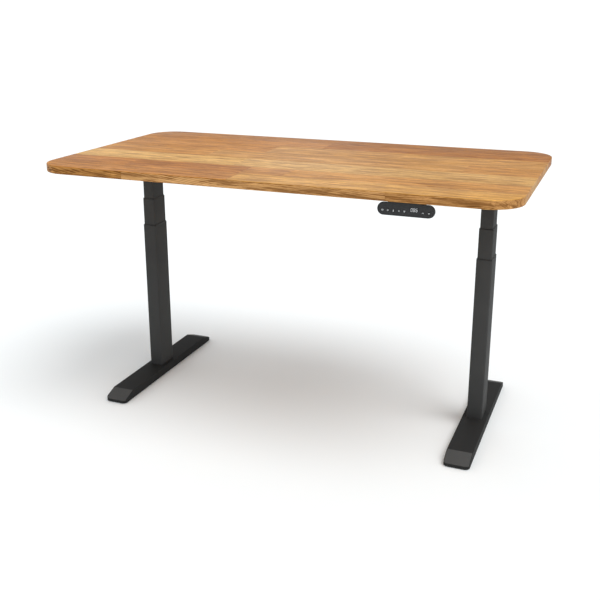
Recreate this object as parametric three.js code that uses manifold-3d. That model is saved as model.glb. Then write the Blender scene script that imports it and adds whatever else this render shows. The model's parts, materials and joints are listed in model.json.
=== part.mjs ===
// Height adjustable standing desk, in millimetres.
// +X runs to the user's right, +Y away from the user, +Z up; the origin is on the floor under the
// middle of the top. The desk is drawn 860 mm high, 180 mm above its lowest setting.
import * as THREE from "three";
import { mergeVertices } from "three/addons/utils/BufferGeometryUtils.js";
import Module from "manifold-3d";

const wasm = await Module();
wasm.setup();

// ---- driving dimensions ----
const GAP = 0.3;

const TOP_LENGTH = 1500;
const TOP_DEPTH = 800;
const TOP_THICKNESS = 25;
const TOP_CORNER_RADIUS = 95;
const TOP_ARRIS = 2;
const DESK_HEIGHT = 860;
const UNDERSIDE = DESK_HEIGHT - TOP_THICKNESS;

const COLUMN_X = 600;
const COLUMN_Y = 62;
const LIFT_BELOW_REST = 90;

const FOOT_LENGTH = 650;
const FOOT_WIDTH = 80;
const FOOT_TOP = 32;
const FOOT_BOTTOM = 3;
const FOOT_LIP_TOP = 11;
const FOOT_SLOPE_LENGTH = 54;
const FOOT_CORNER_RADIUS = 16;
const FOOT_EDGE_RADIUS = 4;
const FOOT_WALL = 2.5;
const FOOT_BEND = 9;
const GLIDE = { offset: 290, radius: 16, pad: 2, chamfer: 1, stud: 4, top: 17 };
const GLIDE_BOSS = { radius: 9, bore: 4.5, boreTop: 19 };

const TUBE_WALL = 1.5;
const OUTER = { width: 50, depth: 84, corner: 5 };
const MID = { width: 45, depth: 79, corner: 4 };
const INNER = { width: 40, depth: 74, corner: 3.5 };
const OUTER_TUBE_TOP = 575;
const BASE_PLATE = 6;
const MID_TUBE_BOTTOM = 44 + LIFT_BELOW_REST;
const MID_TUBE_TOP = 582 + LIFT_BELOW_REST;
const INNER_TUBE_BOTTOM = 62 + 2 * LIFT_BELOW_REST;
const COLLAR_RIM = 2;
const COLLAR_SKIRT = 18;
const COLLAR_OVERLAP = 0.5;
const SKIRT_CORNER_STEP = 0.7;
const SHOE_HEIGHT = 40;
const SHOE_RISE = 2;

const SPINDLE = { radius: 6.5, top: 400, tip: 2, flange: 14, flangeHeight: 4 };
const SCREW = { radius: 14, bore: 10.4, length: 376, flange: 17, flangeHeight: 4 };
const SCREW_NUT = { bore: 7.1, length: 30 };
const BEARING = { bore: 14.6, height: 10 };
const TRAVELLING_NUT_HEIGHT = 20;
const SHAFT = { radius: 9.5, neck: 7.5, neckLength: 10, bottom: 80 + 2 * LIFT_BELOW_REST };
const WHEEL = { radius: 16, height: 12 };
const WORM = { radius: 6.5, half: 15, shaft: 4, outboardEnd: 19, inboardEnd: 54, z: 806 };
const WORM_Y = WHEEL.radius + WORM.radius + GAP;
const GEARBOX = { outboard: 26, inboard: 26, front: 21, back: 36, bottom: 788.3, top: 830 };
const WHEEL_ROOM = { radius: 17, top: 815 };
const WORM_ROOM = { radius: 7.3, outboard: 21, inboard: 40 };
const MOTOR = { radius: 20, length: 95, step: 4, collar: 6, bore: 4.5, boreDepth: 32 };
const HEAD = { outboard: 48, plateInboard: 24, wallInboard: 60, half: 47.7, sheet: 3, top: 832 };
const HEAD_PLATE = { bottom: 784, thickness: 4, bore: 10.5 };
const BRACKET = { half: 280, straight: 100, web: 3, flange: 27, middle: 26, end: 12 };
const RAIL = { offset: 58, width: 20, bottom: 788, top: 828, half: 640, corner: 2.5 };

const BOX = { length: 260, front: 160, back: 260, bottom: 798, wall: 2.5, corner: 6 };
const BOX_TOP = UNDERSIDE - GAP;
const BOX_EAR = { length: 24, width: 50, thickness: 3, corner: 6 };
const COVER = { thickness: 3, rim: 2, rimHeight: 3, overlap: 0.5 };
const PORT = { x: 90, z: 818, clearance: 1.3, depth: 6 };
const INLET = { width: 30, height: 24, depth: 22, x: 60, z: 816, side: 2.5, lid: 3, floor: 4 };
const PIN = { pitch: 7, width: 2, height: 5, earthRise: 4, othersDrop: 2, mouth: 4 };
const BOARD = { half: 118, front: 36, back: 25, bottom: 806, thickness: 1.6 };
// The parts on the board: place in X and Y, length, depth and height.
const BOARD_PARTS = [
  [-70, -5, 34, 30, 17],
  [-20, 8, 26, 22, 14],
  [30, -14, 22, 18, 12],
  [85, -8, 30, 26, 10],
];
const CAPACITORS = { places: [-45, 5, 60], back: -24, radius: 6, height: 19 };
const PART_FOOT = 0.6;

const PILL = { x: 451.4, y: -394.5, z: 815.1, length: 157.3, height: 35.5, depth: 13, tilt: 12 };
// The block that holds the hand control: its ends in X, and its outline's lower points in Y and Z.
const MOUNT_BLOCK = { left: 400, right: 496, lower: [[-389, 826], [-384, 806], [-340, 822], [-334, 826]] };
const PILL_WALL = 2.5;
const FASCIA_THICKNESS = 1.6;
const FASCIA_RECESS = 0.6;
const KEY = { radius: 4.6, flange: 6, flangeHeight: 1.2, proud: 0.3, under: 0.4, clearance: 0.5 };
const KEY_ROW = { x: -63.9, y: -4.5, pitch: 15.2 };
const UP_DOWN_KEYS = { up: 47.4, down: 63.4, y: -5 };
const DISPLAY = { x: 23, y: 1.2, width: 24, height: 12, corner: 0.8, bottom: -2 };

const LEAD_RADIUS = 2.2;
const LEAD_Z = 831.5;
// A motor's lead leaves the motor's end: how far inboard and how far back of it, and its height.
const MOTOR_LEAD_START = [
  [0, 0, WORM.z],
  [12, 0, WORM.z],
  [30, 1, 813],
  [42, 5, 827],
  [56, 16, LEAD_Z],
  [72, 32, LEAD_Z],
  [86, 46, LEAD_Z],
  [110, 56, LEAD_Z],
  [160, 58, LEAD_Z],
];
// It comes into its port from outboard: how far outboard of the port and how far back, and its height.
const MOTOR_LEAD_END = [
  [60, 58, LEAD_Z],
  [22, 58, LEAD_Z - 2],
  [4, 62, LEAD_Z - 9],
  [0, 70, PORT.z],
];
// The hand control's lead runs straight back from it: how far to the left, then Y and Z.
const HAND_LEAD_START = [
  [0, -333.5, 829],
  [0, -320, 829.5],
  [0, -295, LEAD_Z],
  [0, -200, LEAD_Z],
  [0, -60, LEAD_Z],
  [0, 40, LEAD_Z],
  [2, 84, LEAD_Z],
  [7, 108, LEAD_Z],
  [14, 125, LEAD_Z],
  [26, 136, 828],
  [46, 138, 822],
  [90, 137, 821],
];
// It ends along the rear rail and in the middle port: X, Y and Z.
const HAND_LEAD_END = [
  [200, 137, 821],
  [60, 137, 821],
  [28, 138, 820],
  [9, 142, 819],
  [1, 150, PORT.z],
  [0, BOX.front, PORT.z],
  [0, BOX.front + 10, PORT.z],
];

const ROUND = 16;

// ---- materials ----
const finish = (color, roughness, metalness) =>
  new THREE.MeshStandardMaterial({ color, roughness, metalness });
const oak = () => finish(0xb98a58, 0.55, 0);
const charcoal = () => finish(0x2f3031, 0.6, 0.3);
const blackPlastic = () => finish(0x1c1d1e, 0.5, 0);
const glossBlack = () => finish(0x0c0d0e, 0.15, 0);
const steel = () => finish(0x9a9da0, 0.35, 0.9);
const bronze = () => finish(0xb08d57, 0.4, 0.8);
const zinc = () => finish(0x8a8d90, 0.5, 0.7);
const rubber = () => finish(0x202020, 0.9, 0);
const circuit = () => finish(0x1d5a38, 0.6, 0);
const keyBlack = () => finish(0x2a2b2c, 0.5, 0);

// ---- solids: a three.js geometry as a manifold, and back ----
function solid(geometry) {
  const bare = geometry.clone();
  bare.deleteAttribute("normal");
  bare.deleteAttribute("uv");
  const merged = mergeVertices(bare, 1e-4);
  const mesh = new wasm.Mesh({
    numProp: 3,
    vertProperties: new Float32Array(merged.attributes.position.array),
    triVerts: new Uint32Array(merged.index.array),
  });
  return new wasm.Manifold(mesh);
}

function geometryOf(body) {
  const mesh = body.getMesh();
  const geometry = new THREE.BufferGeometry();
  geometry.setAttribute("position", new THREE.BufferAttribute(new Float32Array(mesh.vertProperties), 3));
  geometry.setIndex(new THREE.BufferAttribute(new Uint32Array(mesh.triVerts), 1));
  geometry.computeVertexNormals();
  return geometry;
}

function named(name, geometry, material, x = 0, y = 0, z = 0) {
  const mesh = new THREE.Mesh(geometry, material);
  mesh.name = name;
  mesh.position.set(x, y, z);
  return mesh;
}

// ---- outlines ----
function roundedOutline(Kind, width, height, radius) {
  const outline = new Kind();
  const x = width / 2 - radius;
  const y = height / 2 - radius;
  outline.absarc(x, y, radius, 0, Math.PI / 2, false);
  outline.absarc(-x, y, radius, Math.PI / 2, Math.PI, false);
  outline.absarc(-x, -y, radius, Math.PI, 1.5 * Math.PI, false);
  outline.absarc(x, -y, radius, 1.5 * Math.PI, 2 * Math.PI, false);
  outline.closePath();
  return outline;
}

const roundedRect = (width, height, radius) => roundedOutline(THREE.Shape, width, height, radius);
const roundedHole = (width, height, radius) => roundedOutline(THREE.Path, width, height, radius);

function polygon(points) {
  return new THREE.Shape(points.map(([x, y]) => new THREE.Vector2(x, y)));
}

// ---- prisms, each standing where its extents say ----
function prism(shape, depth, curveSegments) {
  return new THREE.ExtrudeGeometry(shape, { depth, bevelEnabled: false, curveSegments });
}

function upright(shape, bottom, top, curveSegments = 2) {
  return prism(shape, top - bottom, curveSegments).translate(0, 0, bottom);
}

// The shape's x and y become Y and Z, and it runs along X.
function alongX(shape, from, to, curveSegments = 2) {
  const turn = new THREE.Matrix4().set(0, 0, 1, 0, 1, 0, 0, 0, 0, 1, 0, 0, 0, 0, 0, 1);
  return prism(shape, to - from, curveSegments).translate(0, 0, from).applyMatrix4(turn);
}

// The shape's x and y become X and Z, and it runs along Y.
function alongY(shape, from, to, curveSegments = 2) {
  return prism(shape, to - from, curveSegments).rotateX(Math.PI / 2).translate(0, to, 0);
}

function block(x0, x1, y0, y1, z0, z1) {
  const geometry = new THREE.BoxGeometry(Math.abs(x1 - x0), Math.abs(y1 - y0), z1 - z0);
  return geometry.translate((x0 + x1) / 2, (y0 + y1) / 2, (z0 + z1) / 2);
}

// Turned about +Z: the points are [radius, height].
function turned(points, segments = ROUND) {
  const profile = points.map(([r, z]) => new THREE.Vector2(r, z));
  return new THREE.LatheGeometry(profile, segments).rotateX(Math.PI / 2);
}

const rod = (radius, bottom, top, segments = ROUND) =>
  turned([[0, bottom], [radius, bottom], [radius, top], [0, top]], segments);

function rodAlongX(radius, end, otherEnd, segments = ROUND) {
  const from = Math.min(end, otherEnd);
  const to = Math.max(end, otherEnd);
  return rod(radius, from, to, segments).rotateY(Math.PI / 2);
}

function rodAlongY(radius, from, to, segments = ROUND) {
  return rod(radius, -to, -from, segments).rotateX(Math.PI / 2);
}

// A rounded rectangular tube, sleeve or ring.
function sleeve(outside, outsideRadius, inside, insideRadius, bottom, top) {
  const shape = roundedRect(outside[0], outside[1], outsideRadius);
  shape.holes.push(roundedHole(inside[0], inside[1], insideRadius));
  return upright(shape, bottom, top);
}

const boreOf = (tube) => [tube.width - 2 * TUBE_WALL, tube.depth - 2 * TUBE_WALL];
const grown = (size, by) => [size[0] + by, size[1] + by];

// ---- tabletop ----
function tabletop() {
  const shape = roundedRect(TOP_LENGTH, TOP_DEPTH, TOP_CORNER_RADIUS);
  const geometry = new THREE.ExtrudeGeometry(shape, {
    depth: TOP_THICKNESS - 2 * TOP_ARRIS,
    bevelEnabled: true,
    bevelThickness: TOP_ARRIS,
    bevelSize: TOP_ARRIS,
    bevelOffset: -TOP_ARRIS,
    bevelSegments: 2,
    curveSegments: 6,
  });
  return named("tabletop", geometry, oak(), 0, 0, UNDERSIDE + TOP_ARRIS);
}

// ---- foot: a pressed channel, open underneath, with sloped ends ----
function footForm(inset, bottom) {
  const half = FOOT_LENGTH / 2 - inset;
  const flat = FOOT_LENGTH / 2 - FOOT_SLOPE_LENGTH - inset * 0.2;
  const top = FOOT_TOP - inset;
  const lip = FOOT_LIP_TOP - inset;
  const bend = FOOT_BEND;
  const drop = (bend * (top - lip)) / (half - flat);
  const side = new THREE.Shape();
  side.moveTo(-half, bottom);
  side.lineTo(half, bottom);
  side.lineTo(half, lip);
  side.lineTo(flat + bend, top - drop);
  side.quadraticCurveTo(flat, top, flat - bend, top);
  side.lineTo(-flat + bend, top);
  side.quadraticCurveTo(-flat, top, -flat - bend, top - drop);
  side.lineTo(-half, lip);
  side.closePath();
  const halfWidth = FOOT_WIDTH / 2 - inset;
  const edge = FOOT_EDGE_RADIUS - inset * 0.8;
  const section = new THREE.Shape();
  section.moveTo(-halfWidth, bottom - 1);
  section.lineTo(halfWidth, bottom - 1);
  section.lineTo(halfWidth, top - edge);
  section.absarc(halfWidth - edge, top - edge, edge, 0, Math.PI / 2, false);
  section.absarc(edge - halfWidth, top - edge, edge, Math.PI / 2, Math.PI, false);
  section.closePath();
  const plan = roundedRect(FOOT_WIDTH - 2 * inset, FOOT_LENGTH - 2 * inset, FOOT_CORNER_RADIUS - inset);
  return solid(alongX(side, -halfWidth - 1, halfWidth + 1))
    .intersect(solid(alongY(section, -half - 1, half + 1)))
    .intersect(solid(upright(plan, bottom - 2, top + 1, 3)));
}

function foot() {
  const skin = footForm(0, FOOT_BOTTOM);
  let body = skin.subtract(footForm(FOOT_WALL, FOOT_BOTTOM - 5));
  for (const y of [-GLIDE.offset, GLIDE.offset]) {
    const boss = rod(GLIDE_BOSS.radius, FOOT_BOTTOM + GAP, FOOT_TOP).translate(0, y, 0);
    const bore = rod(GLIDE_BOSS.bore, 0, GLIDE_BOSS.boreTop).translate(0, y, 0);
    body = body.add(solid(boss).intersect(skin)).subtract(solid(bore));
  }
  return geometryOf(body);
}

function glide() {
  const { radius, pad, chamfer, stud, top } = GLIDE;
  return turned([[0, 0], [radius, 0], [radius, pad], [radius - chamfer, FOOT_BOTTOM], [stud, FOOT_BOTTOM],
    [stud, top], [0, top]]);
}

// ---- column ----
function outerTube() {
  const bottom = FOOT_TOP + GAP;
  const tube = straightTube(OUTER, bottom, OUTER_TUBE_TOP);
  const plate = roundedRect(OUTER.width - 1, OUTER.depth - 1, OUTER.corner - 0.5);
  return geometryOf(solid(tube).add(solid(upright(plate, bottom, bottom + BASE_PLATE))));
}

const straightTube = (tube, bottom, top) =>
  sleeve([tube.width, tube.depth], tube.corner, boreOf(tube), tube.corner - TUBE_WALL, bottom, top);

// A plastic guide in a tube's mouth: a rim on the tube's end, and a thin skirt inside it.
function collar(tube, next, tubeTop) {
  const hole = grown([next.width, next.depth], 2 * GAP);
  const holeCorner = next.corner + GAP;
  const rimBottom = tubeTop + GAP;
  const rim = sleeve([tube.width, tube.depth], tube.corner, hole, holeCorner,
    rimBottom, rimBottom + COLLAR_RIM);
  const skirt = sleeve(grown(boreOf(tube), -2 * GAP), next.corner + SKIRT_CORNER_STEP, hole, holeCorner,
    tubeTop - COLLAR_SKIRT, rimBottom + COLLAR_OVERLAP);
  return geometryOf(solid(rim).add(solid(skirt)));
}

// A plastic shoe round a tube's foot, sliding in the wider tube.
function shoe(tube, wider, bottom) {
  return sleeve(grown(boreOf(wider), -2 * GAP), tube.corner + SKIRT_CORNER_STEP,
    grown([tube.width, tube.depth], 2 * GAP), tube.corner + GAP,
    bottom + SHOE_RISE, bottom + SHOE_RISE + SHOE_HEIGHT);
}

// A block in a tube's foot with a round hole through it.
function plug(tube, bottom, height, hole) {
  const [width, depth] = grown(boreOf(tube), -2 * GAP);
  const shape = roundedRect(width, depth, tube.corner - TUBE_WALL);
  const round = new THREE.Path();
  round.absarc(0, 0, hole, 0, 2 * Math.PI, true);
  shape.holes.push(round);
  return upright(shape, bottom, bottom + height, 8);
}

function fixedSpindle() {
  const { radius, top, tip, flange, flangeHeight } = SPINDLE;
  const bottom = FOOT_TOP + 2 * GAP + BASE_PLATE;
  const seat = bottom + flangeHeight;
  return turned([[0, bottom], [flange, bottom], [flange, seat], [radius, seat], [radius, top - tip],
    [radius - tip, top], [0, top]]);
}

function screwTube() {
  const { radius, bore, length, flange, flangeHeight } = SCREW;
  const bottom = MID_TUBE_BOTTOM;
  const seat = bottom + BEARING.height + GAP;
  const top = bottom + length;
  const nutTop = bottom + SCREW_NUT.length;
  return turned([[SCREW_NUT.bore, bottom], [radius, bottom], [radius, seat], [flange, seat],
    [flange, seat + flangeHeight], [radius, seat + flangeHeight], [radius, top], [bore, top], [bore, nutTop],
    [SCREW_NUT.bore, nutTop], [SCREW_NUT.bore, bottom]]);
}

function driveShaft() {
  const { radius, neck, neckLength, bottom } = SHAFT;
  const wheelBottom = WORM.z - WHEEL.height / 2;
  const wheelTop = WORM.z + WHEEL.height / 2;
  const neckTop = wheelBottom - neckLength;
  return turned([[0, neckTop], [neck, neckTop], [neck, bottom], [radius, bottom], [radius, wheelBottom],
    [WHEEL.radius, wheelBottom], [WHEEL.radius, wheelTop], [0, wheelTop]]);
}

// ---- the drive at the column's head; inboard is +1 or -1 along X, towards the desk's middle ----
function worm(inboard) {
  const { radius, half, shaft, outboardEnd, inboardEnd, z } = WORM;
  const points = [[0, -outboardEnd], [shaft, -outboardEnd], [shaft, -half], [radius, -half], [radius, half],
    [shaft, half], [shaft, inboardEnd], [0, inboardEnd]];
  return turned(points).rotateY((inboard * Math.PI) / 2).translate(0, WORM_Y, z);
}

function gearbox(inboard) {
  const g = GEARBOX;
  const housing = block(-inboard * g.outboard, inboard * g.inboard, -g.front, g.back, g.bottom, g.top);
  const wheelRoom = rod(WHEEL_ROOM.radius, g.bottom - 1, WHEEL_ROOM.top);
  const wormRoom = rodAlongX(WORM_ROOM.radius, -inboard * WORM_ROOM.outboard, inboard * WORM_ROOM.inboard)
    .translate(0, WORM_Y, WORM.z);
  return geometryOf(solid(housing).subtract(solid(wheelRoom)).subtract(solid(wormRoom)));
}

function motor(inboard) {
  const { radius, length, step, collar: collarLength, bore, boreDepth } = MOTOR;
  const start = GEARBOX.inboard + GAP;
  const end = start + length;
  const neck = radius - step;
  const points = [[bore, start], [neck, start], [neck, start + collarLength], [radius, start + collarLength],
    [radius, end - step], [neck, end], [0, end], [0, start + boreDepth], [bore, start + boreDepth],
    [bore, start]];
  return turned(points).rotateY((inboard * Math.PI) / 2).translate(0, WORM_Y, WORM.z);
}

function columnHead(inboard) {
  const { outboard, plateInboard, wallInboard, half, sheet, top } = HEAD;
  const { bottom, thickness, bore } = HEAD_PLATE;
  const out = -inboard * outboard;
  const plate = block(out, inboard * plateInboard, -half, half, bottom, bottom + thickness);
  const end = block(out, out + inboard * sheet, -half, half, bottom, top);
  let body = solid(plate).add(solid(end));
  for (const side of [-1, 1]) {
    const wall = block(out, inboard * wallInboard, side * (half - sheet), side * half, bottom, top);
    body = body.add(solid(wall));
  }
  return geometryOf(body.subtract(solid(rod(bore, bottom - 1, bottom + thickness + 1))));
}

// An angle under the top: a web that tapers towards both ends, and a flange that the screws go through.
function sideBracket(inboard) {
  const b = BRACKET;
  const top = UNDERSIDE - GAP;
  const web = polygon([[-b.half, top - b.end], [-b.straight, top - b.middle], [b.straight, top - b.middle],
    [b.half, top - b.end], [b.half, top], [-b.half, top]]);
  const near = -inboard * (HEAD.outboard + GAP);
  const far = near - inboard * b.web;
  const edge = near - inboard * b.flange;
  const upstand = alongX(web, Math.min(near, far), Math.max(near, far));
  const flange = block(near, edge, -b.half, b.half, top - b.web, top);
  return geometryOf(solid(upstand).add(solid(flange)));
}

function rail(y) {
  const height = RAIL.top - RAIL.bottom;
  const shape = roundedRect(RAIL.width, height, RAIL.corner);
  shape.holes.push(roundedHole(RAIL.width - 2 * TUBE_WALL, height - 2 * TUBE_WALL, RAIL.corner - TUBE_WALL));
  return alongX(shape, -RAIL.half, RAIL.half).translate(0, y, (RAIL.top + RAIL.bottom) / 2);
}

// ---- a lead along a smooth curve through hand-picked points ----
function lead(points, steps) {
  const path = points.map((point) => new THREE.Vector3(...point));
  const extrudePath = new THREE.CatmullRomCurve3(path, false, "centripetal");
  const section = new THREE.Shape();
  section.absarc(0, 0, LEAD_RADIUS, 0, 2 * Math.PI, false);
  return new THREE.ExtrudeGeometry(section, { steps, extrudePath, curveSegments: 4, bevelEnabled: false });
}

function motorLead(side) {
  const end = COLUMN_X - GEARBOX.inboard - MOTOR.length - 2 * GAP;
  const back = COLUMN_Y + WORM_Y;
  const start = MOTOR_LEAD_START.map(([inboard, y, z]) => [side * (end - inboard), back + y, z]);
  const rest = MOTOR_LEAD_END.map(([outboard, y, z]) => [side * (PORT.x + outboard), back + y, z]);
  return lead([...start, ...rest, [side * PORT.x, BOX.front + 10, PORT.z]], 36);
}

// ---- one leg: everything at one column ----
function leg(side, word) {
  const inboard = -side;
  const group = new THREE.Group();
  group.position.set(side * COLUMN_X, COLUMN_Y, 0);
  const add = (name, geometry, material, y = 0) => {
    group.add(named(`${word}_${name}`, geometry, material, 0, y, 0));
  };
  add("foot", foot(), charcoal());
  add("front_glide", glide(), rubber(), -GLIDE.offset);
  add("rear_glide", glide(), rubber(), GLIDE.offset);
  add("outer_tube", outerTube(), charcoal());
  add("outer_collar", collar(OUTER, MID, OUTER_TUBE_TOP), blackPlastic());
  add("mid_tube", straightTube(MID, MID_TUBE_BOTTOM, MID_TUBE_TOP), charcoal());
  add("mid_collar", collar(MID, INNER, MID_TUBE_TOP), blackPlastic());
  add("mid_shoe", shoe(MID, OUTER, MID_TUBE_BOTTOM), blackPlastic());
  add("screw_bearing", plug(MID, MID_TUBE_BOTTOM, BEARING.height, BEARING.bore), zinc());
  add("inner_tube", straightTube(INNER, INNER_TUBE_BOTTOM, HEAD_PLATE.bottom - GAP), charcoal());
  add("inner_shoe", shoe(INNER, MID, INNER_TUBE_BOTTOM), blackPlastic());
  add("travelling_nut", plug(INNER, INNER_TUBE_BOTTOM, TRAVELLING_NUT_HEIGHT, BEARING.bore), bronze());
  add("fixed_spindle", fixedSpindle(), steel());
  add("screw_tube", screwTube(), steel());
  add("drive_shaft", driveShaft(), steel());
  add("worm", worm(inboard), steel());
  add("gearbox", gearbox(inboard), zinc());
  add("motor", motor(inboard), blackPlastic());
  add("column_head", columnHead(inboard), charcoal());
  add("side_bracket", sideBracket(inboard), charcoal());
  const whole = new THREE.Group();
  whole.add(group, named(`${word}_motor_lead`, motorLead(side), rubber()));
  return whole;
}

// ---- control box, under the top behind the rear rail ----
function controlBox() {
  const b = BOX;
  const middle = (b.front + b.back) / 2;
  const plan = (inset) => roundedRect(b.length - 2 * inset, b.back - b.front - 2 * inset, b.corner - inset);
  let body = solid(upright(plan(0), b.bottom, BOX_TOP).translate(0, middle, 0));
  const earPlan = roundedRect(BOX_EAR.length, BOX_EAR.width, BOX_EAR.corner);
  for (const side of [-1, 1]) {
    const ear = upright(earPlan, BOX_TOP - BOX_EAR.thickness, BOX_TOP);
    body = body.add(solid(ear.translate((side * b.length) / 2, middle, 0)));
  }
  body = body.subtract(solid(upright(plan(b.wall), b.bottom - 1, BOX_TOP - b.wall).translate(0, middle, 0)));
  for (const x of [-PORT.x, 0, PORT.x]) {
    const port = rodAlongY(LEAD_RADIUS + PORT.clearance, b.front - 2, b.front + PORT.depth, 12);
    body = body.subtract(solid(port.translate(x, 0, PORT.z)));
  }
  const halfWidth = INLET.width / 2 + GAP;
  const halfHeight = INLET.height / 2 + GAP;
  const hole = block(INLET.x - halfWidth, INLET.x + halfWidth, b.back - b.wall - 3, b.back + 2,
    INLET.z - halfHeight, INLET.z + halfHeight);
  return geometryOf(body.subtract(solid(hole)));
}

function controlBoxCover() {
  const { thickness, rim: rimWall, rimHeight, overlap } = COVER;
  const middle = (BOX.front + BOX.back) / 2;
  const top = BOX.bottom - GAP;
  const width = BOX.back - BOX.front;
  const lid = upright(roundedRect(BOX.length, width, BOX.corner), top - thickness, top);
  const inset = 2 * (BOX.wall + GAP);
  const rimPlan = roundedRect(BOX.length - inset, width - inset, BOX.corner - BOX.wall);
  rimPlan.holes.push(roundedHole(BOX.length - inset - 2 * rimWall, width - inset - 2 * rimWall, rimWall));
  const rim = upright(rimPlan, top - overlap, top + rimHeight);
  return geometryOf(solid(lid).add(solid(rim)).translate([0, middle, 0]));
}

function controlBoard() {
  const { half, front, back, bottom, thickness } = BOARD;
  const y = (BOX.front + BOX.back) / 2;
  let body = solid(block(-half, half, y - front, y + back, bottom, bottom + thickness));
  const foot = bottom + thickness - PART_FOOT;
  for (const [x, offset, width, depth, height] of BOARD_PARTS) {
    const part = block(-width / 2, width / 2, -depth / 2, depth / 2, foot, foot + height);
    body = body.add(solid(part.translate(x, y + offset, 0)));
  }
  for (const x of CAPACITORS.places) {
    const can = rod(CAPACITORS.radius, foot, foot + CAPACITORS.height);
    body = body.add(solid(can.translate(x, y + CAPACITORS.back, 0)));
  }
  return geometryOf(body);
}

function powerInlet() {
  const { width, height, depth, x, z, side, lid, floor } = INLET;
  const back = BOX.back;
  const front = back - depth;
  const body = block(-width / 2, width / 2, front, back + 2, -height / 2, height / 2);
  const recess = roundedRect(width - 2 * side, height - 2 * lid, 3);
  let whole = solid(body).subtract(solid(alongY(recess, front + floor, back + 3)));
  for (const place of [-PIN.pitch, 0, PIN.pitch]) {
    const middle = place === 0 ? PIN.earthRise : -PIN.othersDrop;
    const pin = block(place - PIN.width / 2, place + PIN.width / 2, front + floor - 2, back - PIN.mouth,
      middle - PIN.height / 2, middle + PIN.height / 2);
    whole = whole.add(solid(pin));
  }
  return geometryOf(whole.translate([x, 0, z]));
}

// ---- hand control: local x along the pill, y up its face, z out of its face ----
const pillShape = (inset) =>
  roundedRect(PILL.length - 2 * inset, PILL.height - 2 * inset, PILL.height / 2 - inset - 0.01);

function pillGroup() {
  const group = new THREE.Group();
  group.position.set(PILL.x, PILL.y, PILL.z);
  group.rotation.x = THREE.MathUtils.degToRad(90 - PILL.tilt);
  return group;
}

function keyPlaces() {
  const row = [1, 2, 3, 4, 5].map((i) => [`key_${i}`, KEY_ROW.x + KEY_ROW.pitch * (i - 1), KEY_ROW.y]);
  const { up, down, y } = UP_DOWN_KEYS;
  return [...row, ["key_up", up, y], ["key_down", down, y]];
}

function pillHousing() {
  const turn = THREE.MathUtils.degToRad(90 - PILL.tilt);
  const place = (geometry) => solid(geometry.rotateX(turn).translate(PILL.x, PILL.y, PILL.z));
  const cup = place(upright(pillShape(0), -PILL.depth, 0, 4));
  const room = place(upright(pillShape(PILL_WALL), PILL_WALL - PILL.depth, 1, 4));
  const { left, right, lower } = MOUNT_BLOCK;
  const top = UNDERSIDE - GAP;
  const outline = polygon([...lower, [lower.at(-1)[0], top], [lower[0][0], top]]);
  return geometryOf(cup.add(solid(alongX(outline, left, right))).subtract(room));
}

function fascia() {
  const shape = pillShape(PILL_WALL + GAP);
  for (const [, x, y] of keyPlaces()) {
    const hole = new THREE.Path();
    hole.absarc(x, y, KEY.radius + KEY.clearance, 0, 2 * Math.PI, true);
    shape.holes.push(hole);
  }
  const opening = new THREE.Path();
  const left = DISPLAY.x - DISPLAY.width / 2 - GAP;
  const right = DISPLAY.x + DISPLAY.width / 2 + GAP;
  const low = DISPLAY.y - DISPLAY.height / 2 - GAP;
  const high = DISPLAY.y + DISPLAY.height / 2 + GAP;
  opening.moveTo(left, low);
  opening.lineTo(left, high);
  opening.lineTo(right, high);
  opening.lineTo(right, low);
  opening.closePath();
  shape.holes.push(opening);
  return upright(shape, -FASCIA_RECESS - FASCIA_THICKNESS, -FASCIA_RECESS, 4);
}

function key() {
  const { radius, flange, flangeHeight, proud, under } = KEY;
  const top = proud - FASCIA_RECESS;
  const flangeTop = -FASCIA_RECESS - FASCIA_THICKNESS - under;
  const bottom = flangeTop - flangeHeight;
  return turned([[0, bottom], [flange, bottom], [flange, flangeTop], [radius, flangeTop], [radius, top],
    [0, top]], 14);
}

function handControl() {
  const group = new THREE.Group();
  const face = pillGroup();
  group.add(named("hand_control_housing", pillHousing(), blackPlastic()), face);
  face.add(named("hand_control_fascia", fascia(), glossBlack()));
  const lens = upright(roundedRect(DISPLAY.width, DISPLAY.height, DISPLAY.corner), DISPLAY.bottom,
    -FASCIA_RECESS);
  face.add(named("hand_control_display", lens, glossBlack(), DISPLAY.x, DISPLAY.y, 0));
  for (const [name, x, y] of keyPlaces()) {
    face.add(named(name, key(), keyBlack(), x, y, 0));
  }
  const start = HAND_LEAD_START.map(([left, y, z]) => [PILL.x - left, y, z]);
  group.add(named("hand_control_lead", lead([...start, ...HAND_LEAD_END], 46), rubber()));
  return group;
}

// ---- assembly ----
const desk = new THREE.Group();
desk.add(tabletop(), leg(-1, "left"), leg(1, "right"));
desk.add(named("front_rail", rail(COLUMN_Y - RAIL.offset), charcoal()));
desk.add(named("rear_rail", rail(COLUMN_Y + RAIL.offset), charcoal()));
desk.add(named("control_box", controlBox(), blackPlastic()));
desk.add(named("control_box_cover", controlBoxCover(), blackPlastic()));
desk.add(named("control_board", controlBoard(), circuit()));
desk.add(named("power_inlet", powerInlet(), blackPlastic()));
desk.add(handControl());

export default desk;
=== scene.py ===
# %% [markdown]
# # A height adjustable standing desk
# The desk is an oak top on two telescopic steel columns, each on a long low foot. This file
# dresses the fixed, jointed frame of that desk in Blender: it makes the finishes, works out the
# fine shape of every piece that shows, and sets the camera and the light.
#
# The first step loads the frame and keeps its parts, whose boxes give the sizes of what is
# added later. Nothing that is added later may make the desk larger.

# %% Load the frame
import json
import math
import bmesh
import bpy
import numpy as np
from mathutils import Matrix, Vector
from mathutils.geometry import delaunay_2d_cdt


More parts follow.
